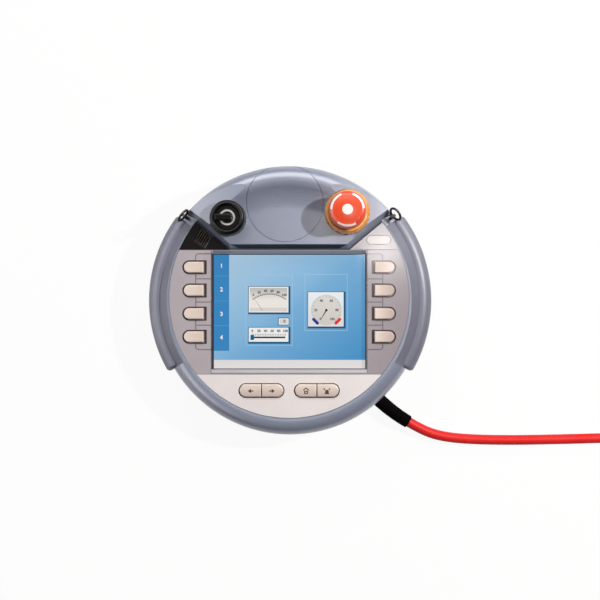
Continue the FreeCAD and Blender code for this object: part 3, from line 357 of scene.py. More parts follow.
finishes = {
    "housing": moulded(
        "housingGrey", (138, 145, 164), (129, 136, 155), rough=0.32, grain=1700, depth=0.12, wear=0.15,
        wornTone=(159, 165, 181), coat=0.45, coatRough=0.22, shine=1.0),
    # the silver panel darkens towards the right and in its recesses: painted shade
    "panel": moulded(
        "panelSilverShaded", (187, 179, 184), (180, 172, 177), rough=0.3, grain=2200, depth=0.06, marks=0.02,
        coat=0.6, coatRough=0.16, shine=0.2,
        paintedFades=[(paintedLightSet["panelRight"], (152, 144, 150)), (paintedLightSet["panelRecessShade"], (72, 65, 66))]),
    # the cream panel darkens in its recesses below the face: painted shade
    "cream": moulded(
        "panelCreamShaded", (238, 232, 231), (231, 224, 223), rough=0.4, grain=2200, depth=0.08, marks=0.02,
        shine=0.3, paintedFades=[(paintedLightSet["panelRecessShade"], (70, 60, 57))]),
    # the bezel's top strip and foot are darker, painted shade, and its low strip is lighter, a painted
    # highlight
    "bezel": moulded(
        "bezelGreyLitAndShaded", (186, 183, 188), (174, 171, 177), rough=0.36, grain=2200, depth=0.08, metal=0.2,
        paintedFades=[(paintedLightSet["bezelTop"], (166, 164, 172)), (paintedLightSet["bezelLowHighlight"], (203, 201, 205)),
               (paintedLightSet["bezelFoot"], (152, 147, 153))]),
    "leftKeyShaded": keyFinish("leftKeyBeige", "leftKeyShaded", (224, 206, 195)),
    "rightTopHighlight": keyFinish("rightTopBeige", "rightTopHighlight", (246, 234, 228)),
    "rightKeyShaded": keyFinish("rightKeyBeige", "rightKeyShaded", (190, 170, 163)),
    "lowerKeyShaded": keyFinish("lowerKeyBeige", "lowerKeyShaded", (204, 186, 178)),
    "grille": moulded(
        "grilleBlack", (10, 8, 8), (5, 4, 4), rough=0.42, grain=1500, depth=0.2, wear=0.2,
        wornTone=(30, 25, 23), shine=0.1),
    "selector": moulded(
        "selectorBlack", (8, 6, 6), (4, 3, 3), rough=0.3, grain=1800, depth=0.05, wear=0.1,
        wornTone=(20, 17, 16), shine=0.2),
    # dark strips that stand for the shade at the hood's foot and along the bezel's edges: painted shade
    "shadeStrip": moulded(
        "shadeStripBlack", (44, 40, 47), (36, 32, 39), rough=0.55, grain=900, depth=0.3, shine=0.2),
    "black": moulded(
        "switchBlack", (9, 7, 7), (5, 4, 4), rough=0.2, grain=1800, depth=0.05, wear=0.15,
        wornTone=(26, 23, 22), shine=0.6),
    "lever": moulded(
        "leverBlack", (38, 38, 40), (27, 27, 29), rough=0.55, grain=900, depth=0.4, wear=0.3,
        wornTone=(70, 70, 72)),
    "rubber": moulded("dullRubber", (40, 40, 42), (30, 30, 32), rough=0.75, grain=800, depth=0.5),
    "sleeve": moulded(
        "sleeveRubber", (11, 9, 10), (5, 4, 5), rough=0.8, grain=1000, depth=0.15, shine=0.02),
    "board": moulded(
        "boardGreen", (34, 92, 58), (26, 74, 47), rough=0.35, grain=500, depth=0.3, drift=140.0),
    "chrome": moulded(
        "ringChrome", (214, 212, 210), (196, 194, 193), rough=0.32, grain=2600, depth=0.03, metal=1.0),
    "steel": moulded(
        "strapSteel", (72, 69, 71), (50, 47, 49), rough=0.28, grain=2000, depth=0.08, metal=0.9),
    "screw": moulded(
        "screwSteel", (170, 170, 172), (146, 146, 149), rough=0.3, grain=2000, depth=0.08, metal=1.0),
    "yellow": moulded(
        "stopYellow", (246, 168, 30), (228, 134, 22), rough=0.24, grain=1500, depth=0.05, wear=0.4,
        wornTone=(255, 214, 84), drift=60.0, coat=0.4),
    "red": moulded(
        "stopRed", (234, 84, 46), (224, 68, 36), rough=0.26, grain=1800, depth=0.05, wear=0.25,
        wornTone=(250, 116, 70), drift=40.0, coat=0.35),
    "pin": moulded(
        "pinGold", (222, 186, 110), (196, 158, 84), rough=0.22, grain=2000, depth=0.05, metal=1.0),
    "badge": moulded("badgeWhite", (246, 244, 243), (238, 235, 234), rough=0.3, grain=2400, depth=0.05),
    "plug": moulded(
        "plugNickel", (176, 174, 170), (150, 148, 145), rough=0.3, grain=1600, depth=0.1, wear=0.5,
        wornTone=(214, 211, 206), metal=1.0),
    "grip": moulded(
        "gripGrey", (114, 117, 133), (103, 105, 120), rough=0.42, grain=1300, depth=0.08, wear=0.15,
        wornTone=(134, 138, 154), shine=0.75),
    "tie": moulded("tieFabric", (44, 44, 48), (30, 30, 33), rough=0.85, grain=650, depth=0.9),
}
print("finishes made:", len(finishes))


# finishes of the solids

nodeFinishes = {
    "housing": ["front_housing", "rear_housing", "round_cover", "shaft_cover"],
    "grip": ["left_grip", "right_grip"],
    "panel": ["left_key_panel", "right_key_panel", "corner_panel"],
    "cream": ["lower_key_panel"],
    "bezel": ["display_bezel"],
    "leftKeyShaded": ["left_key_%d" % i for i in range(1, 5)],
    "rightTopHighlight": ["right_key_1"],
    "rightKeyShaded": ["right_key_%d" % i for i in range(2, 5)],
    "lowerKeyShaded": ["lower_key_%d" % i for i in range(1, 5)],
    "grille": ["corner_grille"],
    "selector": ["selector_bezel", "selector_rotor"],
    "black": ["selector_block", "estop_block", "estop_stem", "buzzer",
              "left_enable_switch", "right_enable_switch", "cable_gland"],
    "lever": ["left_enable_lever", "right_enable_lever"],
    "rubber": ["housing_gasket", "rubber_feet"],
    "sleeve": ["bend_sleeve"],
    "board": ["left_key_board", "right_key_board", "lower_key_board", "main_board"],
    "chrome": ["selector_ring"],
    "steel": ["left_strap_lug", "right_strap_lug", "left_strap_ring", "right_strap_ring"],
    "screw": ["rear_screws"],
    "yellow": ["estop_collar"],
    "red": ["estop_head"],
    "badge": ["badge_plate"],
    "plug": ["plug_body", "plug_ring"],
    "pin": ["plug_pins"],
    "tie": ["coil_tie"],
}


def dress(name, material):
    nodes[name].data.materials.clear()
    nodes[name].data.materials.append(material)


for finish, names in nodeFinishes.items():
    for name in names:
        dress(name, finishes[finish])
print("solids dressed")


# red lead: out of the sleeve, along the floor, into its coil and to the plug

leadSet = {
    "radius": 0.00525, "length": 2.40, "order": 3, "curveSteps": 6, "roundSteps": 5,
    "route": [(0.122, -0.1273, 0.012), (0.13903, -0.13754, 0.00971), (0.160, -0.1438, 0.0076),
              (0.188, -0.1467, 0.0062), (0.233, -0.1476, 0.0056), (0.290, -0.1464, 0.006),
              (0.340, -0.1448, 0.007)],
    "tail": [(0.4754, -0.056, 0.0281), (0.4764, -0.033, 0.0235), (0.475, -0.008, 0.0154),
             (0.475, 0.012, 0.0154)],
    "coilPlace": (0.412, -0.082), "coilRadius": 0.063, "coilFloor": 0.00715,
    # column (-1 inner, 1 outer) and level of each turn in the order that they are wound
    "turns": [(1, 0), (-1, 0), (-1, 1), (1, 1), (-1, 2), (1, 2)],
    "startAngle": -114.0, "endAngle": 4.0, "stepAngle": 24.0, "shiftAngle": 48.0,
    "fittings": ("bend_sleeve", "coil_tie", "plug_body", "plug_pins", "plug_ring"),
}
leadRed = moulded("leadRed", (234, 48, 46), (222, 38, 38), rough=0.42, grain=900, depth=0.12,
                  drift=30.0, shine=0.2)


def coilPoints():
    # a turn keeps its column and level, and moves over to the next over its last degrees
    turns, shift = leadSet["turns"], leadSet["shiftAngle"]
    pitch = 2 * leadSet["radius"]
    total = 360.0 * (len(turns) - 1) + leadSet["endAngle"] - leadSet["startAngle"]
    steps = int(round(total / leadSet["stepAngle"]))
    x, y = leadSet["coilPlace"]
    points = []
    for i in range(steps + 1):
        done = total * i / steps
        turn = min(int(done // 360.0), len(turns) - 1)
        column, level = turns[turn]
        left = 360.0 * (turn + 1) - done
        if left < shift and turn + 1 < len(turns):
            share = 1.0 - left / shift
            share = share * share * (3 - 2 * share)
            nextColumn, nextLevel = turns[turn + 1]
            column += (nextColumn - column) * share
            level += (nextLevel - level) * share
        angle = math.radians(leadSet["startAngle"] + done)
        radius = leadSet["coilRadius"] + column * pitch / 2
        points.append((x + radius * math.cos(angle), y + radius * math.sin(angle),
                       leadSet["coilFloor"] + level * pitch))
    return points


def makeLead():
    points = leadSet["route"] + coilPoints() + leadSet["tail"]
    curve = bpy.data.curves.new("redLead", "CURVE")
    curve.dimensions = "3D"
    spline = curve.splines.new("NURBS")
    spline.points.add(len(points) - 1)
    for point, place in zip(spline.points, points):
        point.co = place + (1.0,)
    spline.order_u = leadSet["order"]
    spline.use_endpoint_u = True
    spline.resolution_u = leadSet["curveSteps"]
    curve.bevel_depth = leadSet["radius"]
    curve.bevel_resolution = leadSet["roundSteps"]
    curve.use_fill_caps = True
    lead = bpy.data.objects.new("redLead", curve)
    bpy.context.scene.collection.objects.link(lead)
    curve.materials.append(leadRed)
    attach(lead, "panel")
    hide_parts("cable", "cable_coil", "cable_tail")


makeLead()
print("lead laid")


# small helpers for modelling

def begin():
    if bpy.context.mode != "OBJECT":
        bpy.ops.object.mode_set(mode="OBJECT")
    bpy.ops.object.select_all(action="DESELECT")


def activate(*pieces):
    begin()
    for piece in pieces:
        piece.select_set(True)
    bpy.context.view_layer.objects.active = pieces[0]


@contextmanager
def editing():
    bpy.ops.object.mode_set(mode="EDIT")
    yield
    bpy.ops.object.mode_set(mode="OBJECT")


def nameIt(name):
    piece = bpy.context.object
    piece.name = name
    piece.data.name = name
    return piece


def bakePlace():
    bpy.ops.object.transform_apply(location=True, rotation=True, scale=True)


def pickVerts(test):
    mesh = bmesh.from_edit_mesh(bpy.context.object.data)
    bpy.ops.mesh.select_all(action="DESELECT")
    for vert in mesh.verts:
        vert.select_set(test(vert.co))
    mesh.select_flush(True)
    bmesh.update_edit_mesh(bpy.context.object.data)


def turnAll(centre, angle):
    # the operator's own angles run clockwise
    bpy.ops.mesh.select_all(action="SELECT")
    bpy.ops.transform.rotate(value=-math.radians(angle), orient_axis="Z", center_override=centre)


def hollowOut(line):
    # keeps a line along the edge; the inset leaves the inside picked
    bpy.ops.mesh.inset(thickness=line)
    bpy.ops.mesh.delete(type="FACE")


def paint(piece, *materials):
    for material in materials:
        piece.data.materials.append(material)
    return piece


def flatPatch(name, centre, size):
    begin()
    bpy.ops.mesh.primitive_plane_add(size=1, location=centre)
    bpy.ops.transform.resize(value=(size[0], size[1], 1))
    bakePlace()
    return nameIt(name)


def roundedPatch(name, centre, size, corner, steps):
    patch = flatPatch(name, centre, size)
    with editing():
        bpy.ops.mesh.bevel(offset=corner, segments=steps, affect="VERTICES")
    return patch


def joinUp(name, pieces):
    activate(*pieces)
    if len(pieces) > 1:
        bpy.ops.object.join()
    return nameIt(name)


def arcBand(name, centre, inner, outer, start, sweep, steps):
    # a radial edge, spun about the centre; spin runs clockwise for a positive angle
    wide = outer - inner
    begin()
    bpy.ops.mesh.primitive_plane_add(size=1, location=centre)
    with editing():
        bpy.ops.transform.resize(value=(wide, wide, 1))
        pickVerts(lambda co: co.y < 0)
        bpy.ops.mesh.delete(type="VERT")
        bpy.ops.mesh.select_all(action="SELECT")
        bpy.ops.transform.translate(value=((inner + outer) / 2, -wide / 2, 0))
        bpy.ops.mesh.spin(steps=steps, angle=-math.radians(sweep), center=centre, axis=(0, 0, 1))
        bpy.ops.mesh.select_all(action="SELECT")
        bpy.ops.mesh.normals_make_consistent(inside=False)
    band = nameIt(name)
    band.rotation_euler = (0, 0, math.radians(start))
    bakePlace()
    return band


def tickRing(name, centre, inner, outer, width, start, sweep, count):
    # one tick, copied round the centre by spin
    begin()
    bpy.ops.mesh.primitive_plane_add(size=1, location=centre)
    with editing():
        bpy.ops.transform.resize(value=(outer - inner, width, 1))
        bpy.ops.transform.translate(value=((inner + outer) / 2, 0, 0))
        bpy.ops.mesh.spin(steps=count, angle=-math.radians(sweep), center=centre, axis=(0, 0, 1),
                          dupli=True)
    ticks = nameIt(name)
    ticks.rotation_euler = (0, 0, math.radians(start))
    bakePlace()
    return ticks


# how far the strokes of a figure are fattened, per unit of its size, and the steps of its curves
figureSet = {"bold": 0.03, "steps": 3}


def numeral(text, centre, size):
    begin()
    bpy.ops.object.text_add(location=centre)
    word = bpy.context.object
    word.data.body = text
    word.data.size = size
    word.data.align_x = "CENTER"
    word.data.align_y = "CENTER"
    word.data.offset = figureSet["bold"] * size
    word.data.resolution_u = figureSet["steps"]
    bpy.ops.object.convert(target="MESH")
    bakePlace()
    return bpy.context.object


def facesUp(piece):
    # decals look up, whatever way the operators left them
    activate(piece)
    with editing():
        mesh = bmesh.from_edit_mesh(piece.data)
        for face in mesh.faces:
            face.select_set(face.normal.z < 0)
        bmesh.update_edit_mesh(piece.data)
        if any(face.select for face in mesh.faces):
            bpy.ops.mesh.flip_normals()
    return piece


def fitTo(piece, body, depth):
    # thickens a flat piece upwards and puts it on its body
    activate(piece)
    solid = piece.modifiers.new("thickness", "SOLIDIFY")
    solid.thickness = depth
    solid.offset = 1.0
    bpy.ops.object.modifier_apply(modifier=solid.name)
    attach(piece, body)


# lit screen: background on the glass, windows and meters as thin lit layers on it

dotSet = {"perMetre": 4200.0, "gapSpan": (0.72, 0.86), "gapShade": 0.84}
glowSet = {"strength": 0.71, "body": (0.3, 0.3, 0.3, 1.0), "shine": 0.25,
           "smearNoise": (35.0, 3.0), "smearSpan": (0.3, 0.7), "rough": (0.05, 0.10)}


def makePixelGroup():
    # the dark grid between the picture dots
    group, enter, leave = newGroup("dotGrid", [
        ("Vector", "NodeSocketVector", None), ("Dots Per Metre", "NodeSocketFloat", dotSet["perMetre"])],
        ["Shade"])
    axes = splitAxes(group, enter.outputs["Vector"])
    gaps = []
    for axis in ("X", "Y"):
        step = mathNode(group, "MULTIPLY", axes[axis], enter.outputs["Dots Per Metre"])
        part = mathNode(group, "FRACT", step)
        gaps.append(fadeNode(group, part, dotSet["gapSpan"], 1.0, dotSet["gapShade"]))
    feed(group, leave, {"Shade": mathNode(group, "MULTIPLY", *gaps)})
    return group


pixelGroup = makePixelGroup()


def finishLit(tree, shader, place, colour):
    dots = addNode(tree, "ShaderNodeGroup", {"Vector": place}, node_tree=pixelGroup)
    lit = mixNode(tree, 1.0, colour, dots.outputs["Shade"], "MULTIPLY")
    smear = noiseNode(tree, place, *glowSet["smearNoise"])
    feed(tree, shader, {
        "Base Color": mixNode(tree, 1.0, lit, glowSet["body"], "MULTIPLY"), "Emission Color": lit,
        "Emission Strength": glowSet["strength"], "Specular IOR Level": glowSet["shine"],
        "Roughness": fadeNode(tree, smear, glowSet["smearSpan"], *glowSet["rough"])})


def litPaint(name, upper, lower=None, top=0.0, bottom=-0.01):
    # a lit colour, fading downwards if a second one is given
    material, tree, shader, place = startFinish(name)
    fall = fadeNode(tree, splitAxes(tree, place)["Y"], (top, bottom))
    finishLit(tree, shader, place, mixNode(tree, fall, upper, lower or upper))
    return material


backSet = {
    "topLeft": tone(178, 210, 234), "middle": tone(128, 182, 222), "lowRight": tone(70, 146, 202),
    "slant": (0.62, -0.78), "upperSpan": (-0.075, 0.01), "lowerSpan": (0.0, 0.095), "edge": 0.00015,
    "column": tone(62, 138, 198), "columnRight": -0.0605, "columnLow": -0.0506,
    "columnRule": tone(84, 154, 208), "rules": (0.0246, -0.0006, -0.0253), "ruleSpan": (0.0002, 0.00045),
    "bar": tone(230, 226, 224), "barTop": -0.0597,
    "gap": tone(44, 50, 60), "gapLeft": -0.0758, "gapRight": 0.0761, "gapLow": -0.0683, "gapHigh": 0.0458,
}


def makeScreenBack():
    # blue that darkens to the lower right, a column on the left, a bar below and a dark gap all round
    material, tree, shader, place = startFinish("screenBack")
    axes = splitAxes(tree, place)
    across, down = axes["X"], axes["Y"]

    def beyond(line, spot, way):
        edge = way * backSet["edge"]
        return fadeNode(tree, line, (backSet[spot] - edge, backSet[spot] + edge))

    slant = mathNode(tree, "ADD", mathNode(tree, "MULTIPLY", across, backSet["slant"][0]),
                     mathNode(tree, "MULTIPLY", down, backSet["slant"][1]))
    upper = fadeNode(tree, slant, backSet["upperSpan"])
    lower = fadeNode(tree, slant, backSet["lowerSpan"])
    colour = mixNode(tree, upper, backSet["topLeft"], backSet["middle"])
    colour = mixNode(tree, lower, colour, backSet["lowRight"])
    columnTone = backSet["column"]
    for rule in backSet["rules"]:
        away = mathNode(tree, "ABSOLUTE", mathNode(tree, "SUBTRACT", down, rule))
        onRule = fadeNode(tree, away, backSet["ruleSpan"], 1.0, 0.0)
        columnTone = mixNode(tree, onRule, columnTone, backSet["columnRule"])
    inColumn = mathNode(tree, "MULTIPLY", beyond(across, "columnRight", -1), beyond(down, "columnLow", 1))
    colour = mixNode(tree, inColumn, colour, columnTone)
    colour = mixNode(tree, beyond(down, "barTop", -1), colour, backSet["bar"])
    for line, spot, way in ((across, "gapLeft", -1), (across, "gapRight", 1), (down, "gapLow", -1),
                            (down, "gapHigh", 1)):
        colour = mixNode(tree, beyond(line, spot, way), colour, backSet["gap"])
    finishLit(tree, shader, place, colour)
    return material


for name in ("touch_glass", "lcd_module"):
    dress(name, makeScreenBack())

lit = {
    "white": litPaint("litWhite", tone(243, 244, 243)),
    "frame": litPaint("litFrame", tone(168, 208, 236)),
    "shade": litPaint("litShade", tone(42, 92, 132)),
    "scaleGrey": litPaint("litScale", tone(196, 196, 192), tone(240, 236, 230), top=0.011, bottom=0.0005),
    "strip": litPaint("litStrip", tone(222, 216, 210)),
    "dialFace": litPaint("litDial", tone(240, 245, 249), tone(226, 224, 220), top=0.008, bottom=-0.027),
    "dialDisc": litPaint("litDisc", tone(226, 222, 218), tone(214, 208, 202), top=0.004, bottom=-0.022),
    "dialRing": litPaint("litRing", tone(190, 212, 226)),
    "ink": litPaint("litInk", tone(52, 48, 50)),
    "brown": litPaint("litBrown", tone(150, 138, 126)),
    "knob": litPaint("litKnob", tone(30, 116, 168), tone(18, 86, 134), top=-0.034, bottom=-0.039),
    "blue": litPaint("litBlue", tone(52, 58, 158)),
    "red": litPaint("litRed", tone(228, 52, 62)),
}

# heights of the picture's layers; windows and frames are given as left, right, low and high
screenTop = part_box("touch_glass")[1].z
layer = 0.00003
plateHeight = screenTop + 3 * layer
markHeight = screenTop + 5 * layer
scaleLabels = [str(20 * i) for i in range(6)]
scaleShares = [i / 5 for i in range(6)]

frameSet = {"line": 0.00045, "left": (-0.0439, 0.0032, -0.0454, 0.0258),
            "right": (0.0153, 0.0583, -0.0305, 0.0264)}
meterSet = {
    "window": (-0.0408, -0.0010, -0.0120, 0.0137), "centre": (-0.0201, -0.0207), "radius": 0.027,
    "stripPlace": (-0.0209, -0.0092), "stripSize": (0.0375, 0.0036),
    "half": 37.3, "lineIn": 0.0002, "lineOut": 0.0003, "steps": 28,
    "tick": 0.0016, "tickWidth": 0.00035, "ticks": 20,
    "figure": 0.0035, "numbers": 0.0303, "numberHalf": 30.6, "numberShift": -0.0006,
    "needle": {"out": 0.0195, "size": (0.00045, 0.0135), "tip": 0.35, "turn": 34.0},
}
valueSet = {"window": (-0.0107, -0.0008, -0.0243, -0.0180), "rim": 0.0009, "near": 0.0007, "far": 0.0006,
            "place": (-0.0050, -0.0210), "figure": 0.0042}
sliderSet = {
    "window": (-0.0408, -0.0010, -0.0415, -0.0273), "left": -0.0372, "right": -0.0041,
    "figure": 0.0035, "numbersY": -0.0307,
    "ticksY": -0.0345, "ticks": 20, "tickWidth": 0.00055, "tick": 0.0018, "longTick": 0.0026,
    "longEvery": 4, "trackY": -0.0371, "trackWidth": 0.0016, "trackRound": 0.0005,
    "knobShift": -0.0001, "knobSize": (0.0036, 0.0052), "knobRound": 0.0006, "roundSteps": 3,
}
dialSet = {
    "window": (0.0188, 0.0544, -0.0261, 0.0083), "rim": 0.0006, "centre": (0.0371, -0.0098),
    "radius": 0.0155, "hole": 0.0002, "discGap": 0.0004, "ringWidth": 0.0007, "steps": 56,
    "start": -50.0, "sweep": 280.0, "tickOut": 0.0009, "tickIn": 0.0026, "tickWidth": 0.0003, "ticks": 20,
    "figure": 0.0034, "numbers": 0.0107, "angles": (236.0, 180.0, 118.0, 62.0, 0.0, -57.0),
    "needle": {"out": 0.0053, "size": (0.0012, 0.0122), "tip": 0.3, "turn": 149.0},
    "hub": 0.0013, "hubSteps": 24, "markSize": (0.0085, 0.0030), "markRound": 0.00145, "markSteps": 5,
    "marks": [("dialLow", (0.0262, -0.0209), -45.0, "blue"), ("dialHigh", (0.0486, -0.0209), 45.0, "red")],
}
columnSet = {"x": -0.0682, "rows": (0.0346, 0.0109, -0.0138, -0.0374), "figure": 0.0058}


def onScreen(piece, *materials):
    fitTo(facesUp(paint(piece, *materials)), "panel", layer)


def around(centre, radius, angle):
    spot = math.radians(angle)
    return (centre[0] + radius * math.cos(spot), centre[1] + radius * math.sin(spot))


def screenFrame(name, left, right, low, high):
    middle = ((left + right) / 2, (low + high) / 2, screenTop + layer)
    outline = flatPatch(name, middle, (right - left, high - low))
    with editing():
        hollowOut(frameSet["line"])
    onScreen(outline, lit["frame"])


def screenWindow(name, sides, inside, rim=0.0011, near=0.0006, far=0.0020):
    # a plate with a dark edge, thin above and on the left, wide below and on the right
    left, right, low, high = sides
    x, y = (left + right) / 2, (low + high) / 2
    wide, tall = right - left, high - low
    drop = (far - near) / 2
    shade = flatPatch(name + "Shade", (x + drop, y - drop, screenTop + layer),
                      (wide + near + far, tall + near + far))
    onScreen(shade, lit["shade"])
    plate = paint(flatPatch(name, (x, y, plateHeight), (wide, tall)), lit["white"], inside)
    with editing():
        bpy.ops.mesh.inset(thickness=rim)
        plate.active_material_index = 1
        bpy.ops.object.material_slot_assign()
    onScreen(plate)


def scaleFigures(name, places, size):
    figures = [numeral(label, place + (markHeight,), size) for label, place in zip(scaleLabels, places)]
    onScreen(joinUp(name, figures), lit["ink"])


def makeNeedle(name, centre, needle):
    # a bar with a narrow outer end, turned about the scale's centre
    middle = centre[1] + needle["out"]
    pointer = flatPatch(name, (centre[0], middle, markHeight + layer), needle["size"])
    with editing():
        pickVerts(lambda co: co.y > middle)
        bpy.ops.transform.resize(value=(needle["tip"], 1, 1))
        turnAll(centre, needle["turn"])
    return pointer


def makeMeter():
    screenWindow("meterWindow", meterSet["window"], lit["scaleGrey"])
    x, y = meterSet["centre"]
    centre = (x, y, markHeight)
    half, radius = meterSet["half"], meterSet["radius"]
    strip = flatPatch("meterStrip", meterSet["stripPlace"] + (markHeight - layer,), meterSet["stripSize"])
    onScreen(strip, lit["strip"])
    arc = arcBand("meterArc", centre, radius - meterSet["lineIn"], radius + meterSet["lineOut"],
                  90 - half, 2 * half, meterSet["steps"])
    ticks = tickRing("meterTicks", centre, radius, radius + meterSet["tick"], meterSet["tickWidth"],
                     90 - half, 2 * half, meterSet["ticks"])
    onScreen(joinUp("meterScale", [arc, ticks]), lit["ink"])
    angles = [90 + meterSet["numberHalf"] * (1 - 2 * share) for share in scaleShares]
    places = [around((x + meterSet["numberShift"], y), meterSet["numbers"], angle) for angle in angles]
    scaleFigures("meterFigures", places, meterSet["figure"])
    onScreen(makeNeedle("meterNeedle", centre, meterSet["needle"]), lit["brown"])


def makeValueBox():
    screenWindow("valueBox", valueSet["window"], lit["strip"], valueSet["rim"], valueSet["near"],
                 valueSet["far"])
    figure = numeral("0", valueSet["place"] + (markHeight,), valueSet["figure"])
    onScreen(joinUp("valueFigure", [figure]), lit["ink"])


def makeSlider():
    screenWindow("sliderWindow", sliderSet["window"], lit["white"])
    left, right = sliderSet["left"], sliderSet["right"]
    length = right - left
    scaleFigures("sliderFigures", [(left + length * share, sliderSet["numbersY"]) for share in scaleShares],
                 sliderSet["figure"])
    ticks = []
    for i in range(sliderSet["ticks"] + 1):
        tall = sliderSet["tick"] if i % sliderSet["longEvery"] else sliderSet["longTick"]
        place = (left + length * i / sliderSet["ticks"], sliderSet["ticksY"], markHeight)
        ticks.append(flatPatch("sliderTick", place, (sliderSet["tickWidth"], tall)))
    onScreen(joinUp("sliderTicks", ticks), lit["brown"])
    place = ((left + right) / 2, sliderSet["trackY"], markHeight)
    track = roundedPatch("sliderTrack", place, (length, sliderSet["trackWidth"]), sliderSet["trackRound"],
                         sliderSet["roundSteps"])
    onScreen(track, lit["ink"])
    place = (left + sliderSet["knobShift"], sliderSet["trackY"], markHeight + layer)
    knob = roundedPatch("sliderKnob", place, sliderSet["knobSize"], sliderSet["knobRound"],
                        sliderSet["roundSteps"])
    onScreen(knob, lit["knob"])


def makeDial():
    screenWindow("dialWindow", dialSet["window"], lit["dialFace"], dialSet["rim"])
    x, y = dialSet["centre"]
    centre = (x, y, markHeight)
    above = (x, y, markHeight + layer)
    radius, start, sweep = dialSet["radius"], dialSet["start"], dialSet["sweep"]
    disc = arcBand("dialDisc", (x, y, markHeight - layer), dialSet["hole"], radius - dialSet["discGap"],
                   0, 360, dialSet["steps"])
    onScreen(disc, lit["dialDisc"])
    ring = arcBand("dialRing", centre, radius - dialSet["ringWidth"], radius, start, sweep,
                   dialSet["steps"])
    onScreen(ring, lit["dialRing"])
    ticks = tickRing("dialTicks", above, radius - dialSet["tickIn"], radius - dialSet["tickOut"],
                     dialSet["tickWidth"], start, sweep, dialSet["ticks"])
    onScreen(ticks, lit["brown"])
    scaleFigures("dialFigures", [around((x, y), dialSet["numbers"], angle) for angle in dialSet["angles"]],
                 dialSet["figure"])
    needle = makeNeedle("dialNeedle", centre, dialSet["needle"])
    begin()
    bpy.ops.mesh.primitive_circle_add(vertices=dialSet["hubSteps"], radius=dialSet["hub"], fill_type="NGON",
                                      location=above)
    bakePlace()
    onScreen(joinUp("dialNeedle", [needle, nameIt("dialHub")]), lit["ink"])
    for name, spot, turn, colour in dialSet["marks"]:
        place = spot + (markHeight + 2 * layer,)
        mark = roundedPatch(name, place, dialSet["markSize"], dialSet["markRound"], dialSet["markSteps"])
        with editing():
            turnAll(place, turn)
        onScreen(mark, lit[colour])


def makeColumn():
    figures = [numeral(str(i), (columnSet["x"], y, screenTop + layer), columnSet["figure"])
               for i, y in enumerate(columnSet["rows"], 1)]
    onScreen(joinUp("columnFigures", figures), lit["white"])


screenFrame("frameLeft", *frameSet["left"])
screenFrame("frameRight", *frameSet["right"])
makeMeter()
makeValueBox()
makeSlider()
makeDial()
makeColumn()
print("screen drawn")


# black strips of painted shade: along the foot of the hood and on the long edges of the display bezel

shadeStripSet = {"footY": 0.05233, "footZ": 0.0623, "rise": 0.0079, "lean": 0.4, "half": 0.0500, "spread": 1.15,
           "thick": 0.0003, "edgeX": 0.0769, "edgeWidth": 0.0013, "edgeLow": -0.0686, "edgeHigh": 0.0470,
           "lift": 0.00005}


# a dark strip of painted shade at the foot of the hood's front wall
def makeHoodSeal():
    # leans back with the hood's front wall and widens upwards
    deep = shadeStripSet["rise"] * shadeStripSet["lean"]
    middle = (0.0, shadeStripSet["footY"] + deep / 2, shadeStripSet["footZ"])
    shadeStrip = flatPatch("hoodShadeStrip", middle, (2 * shadeStripSet["half"], deep))
    with editing():
        pickVerts(lambda co: co.y > middle[1])
        bpy.ops.transform.translate(value=(0, 0, shadeStripSet["rise"]))
        bpy.ops.transform.resize(value=(shadeStripSet["spread"], 1, 1))
    return facesUp(shadeStrip)


# a dark strip of painted shade along one long edge of the display bezel
def makeBezelSeal(name, way):
    low, high = shadeStripSet["edgeLow"], shadeStripSet["edgeHigh"]
    place = (way * shadeStripSet["edgeX"], (low + high) / 2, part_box("display_bezel")[1].z + shadeStripSet["lift"])
    return facesUp(flatPatch(name, place, (shadeStripSet["edgeWidth"], high - low)))


for shadeStrip in (makeHoodSeal(), makeBezelSeal("bezelShadeStripLeft", -1), makeBezelSeal("bezelShadeStripRight", 1)):
    fitTo(paint(shadeStrip, finishes["shadeStrip"]), "panel", shadeStripSet["thick"])
print("shade strips fitted")


# brown ribs between the slots of the grille, and a pale line on the seam beside them: a painted highlight

ribSet = {"place": (-0.087, 0.063), "slope": 60.0, "pitch": 0.0023, "count": 5, "size": (0.0160, 0.0005),
          "seamHighlightPlace": (-0.08115, 0.0579), "seamHighlightSize": (0.0138, 0.0006), "thick": 0.00012}
ribBrown = moulded("ribBrown", (84, 68, 60), (66, 52, 46), rough=0.45, grain=1500, depth=0.2, shine=0.3)
# pale grey line along the grille's seam: painted highlight
seamHighlightGrey = moulded("seamHighlightGrey", (112, 104, 100), (94, 87, 84), rough=0.4, grain=1500, depth=0.2, shine=0.3)


def grilleBar(name, centre, size, material):
    place = (centre[0], centre[1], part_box("corner_grille")[1].z)
    bar = flatPatch(name, place, size)
    with editing():
        turnAll(place, ribSet["slope"])
    return paint(facesUp(bar), material)


def makeGrilleTrim():
    turn = math.radians(ribSet["slope"])
    x, y = ribSet["place"]
    ribs = []
    for i in range(ribSet["count"]):
        offset = (i - (ribSet["count"] - 1) / 2) * ribSet["pitch"]
        spot = (x - offset * math.sin(turn), y + offset * math.cos(turn))
        ribs.append(grilleBar("grilleRib", spot, ribSet["size"], ribBrown))
    seamHighlight = grilleBar("grilleSeamHighlight", ribSet["seamHighlightPlace"], ribSet["seamHighlightSize"], seamHighlightGrey)
    for piece in (joinUp("grilleRibs", ribs), seamHighlight):
        fitTo(piece, "panel", ribSet["thick"])


makeGrilleTrim()
print("grille trimmed")


# white marks on the stop button, laid on its dome

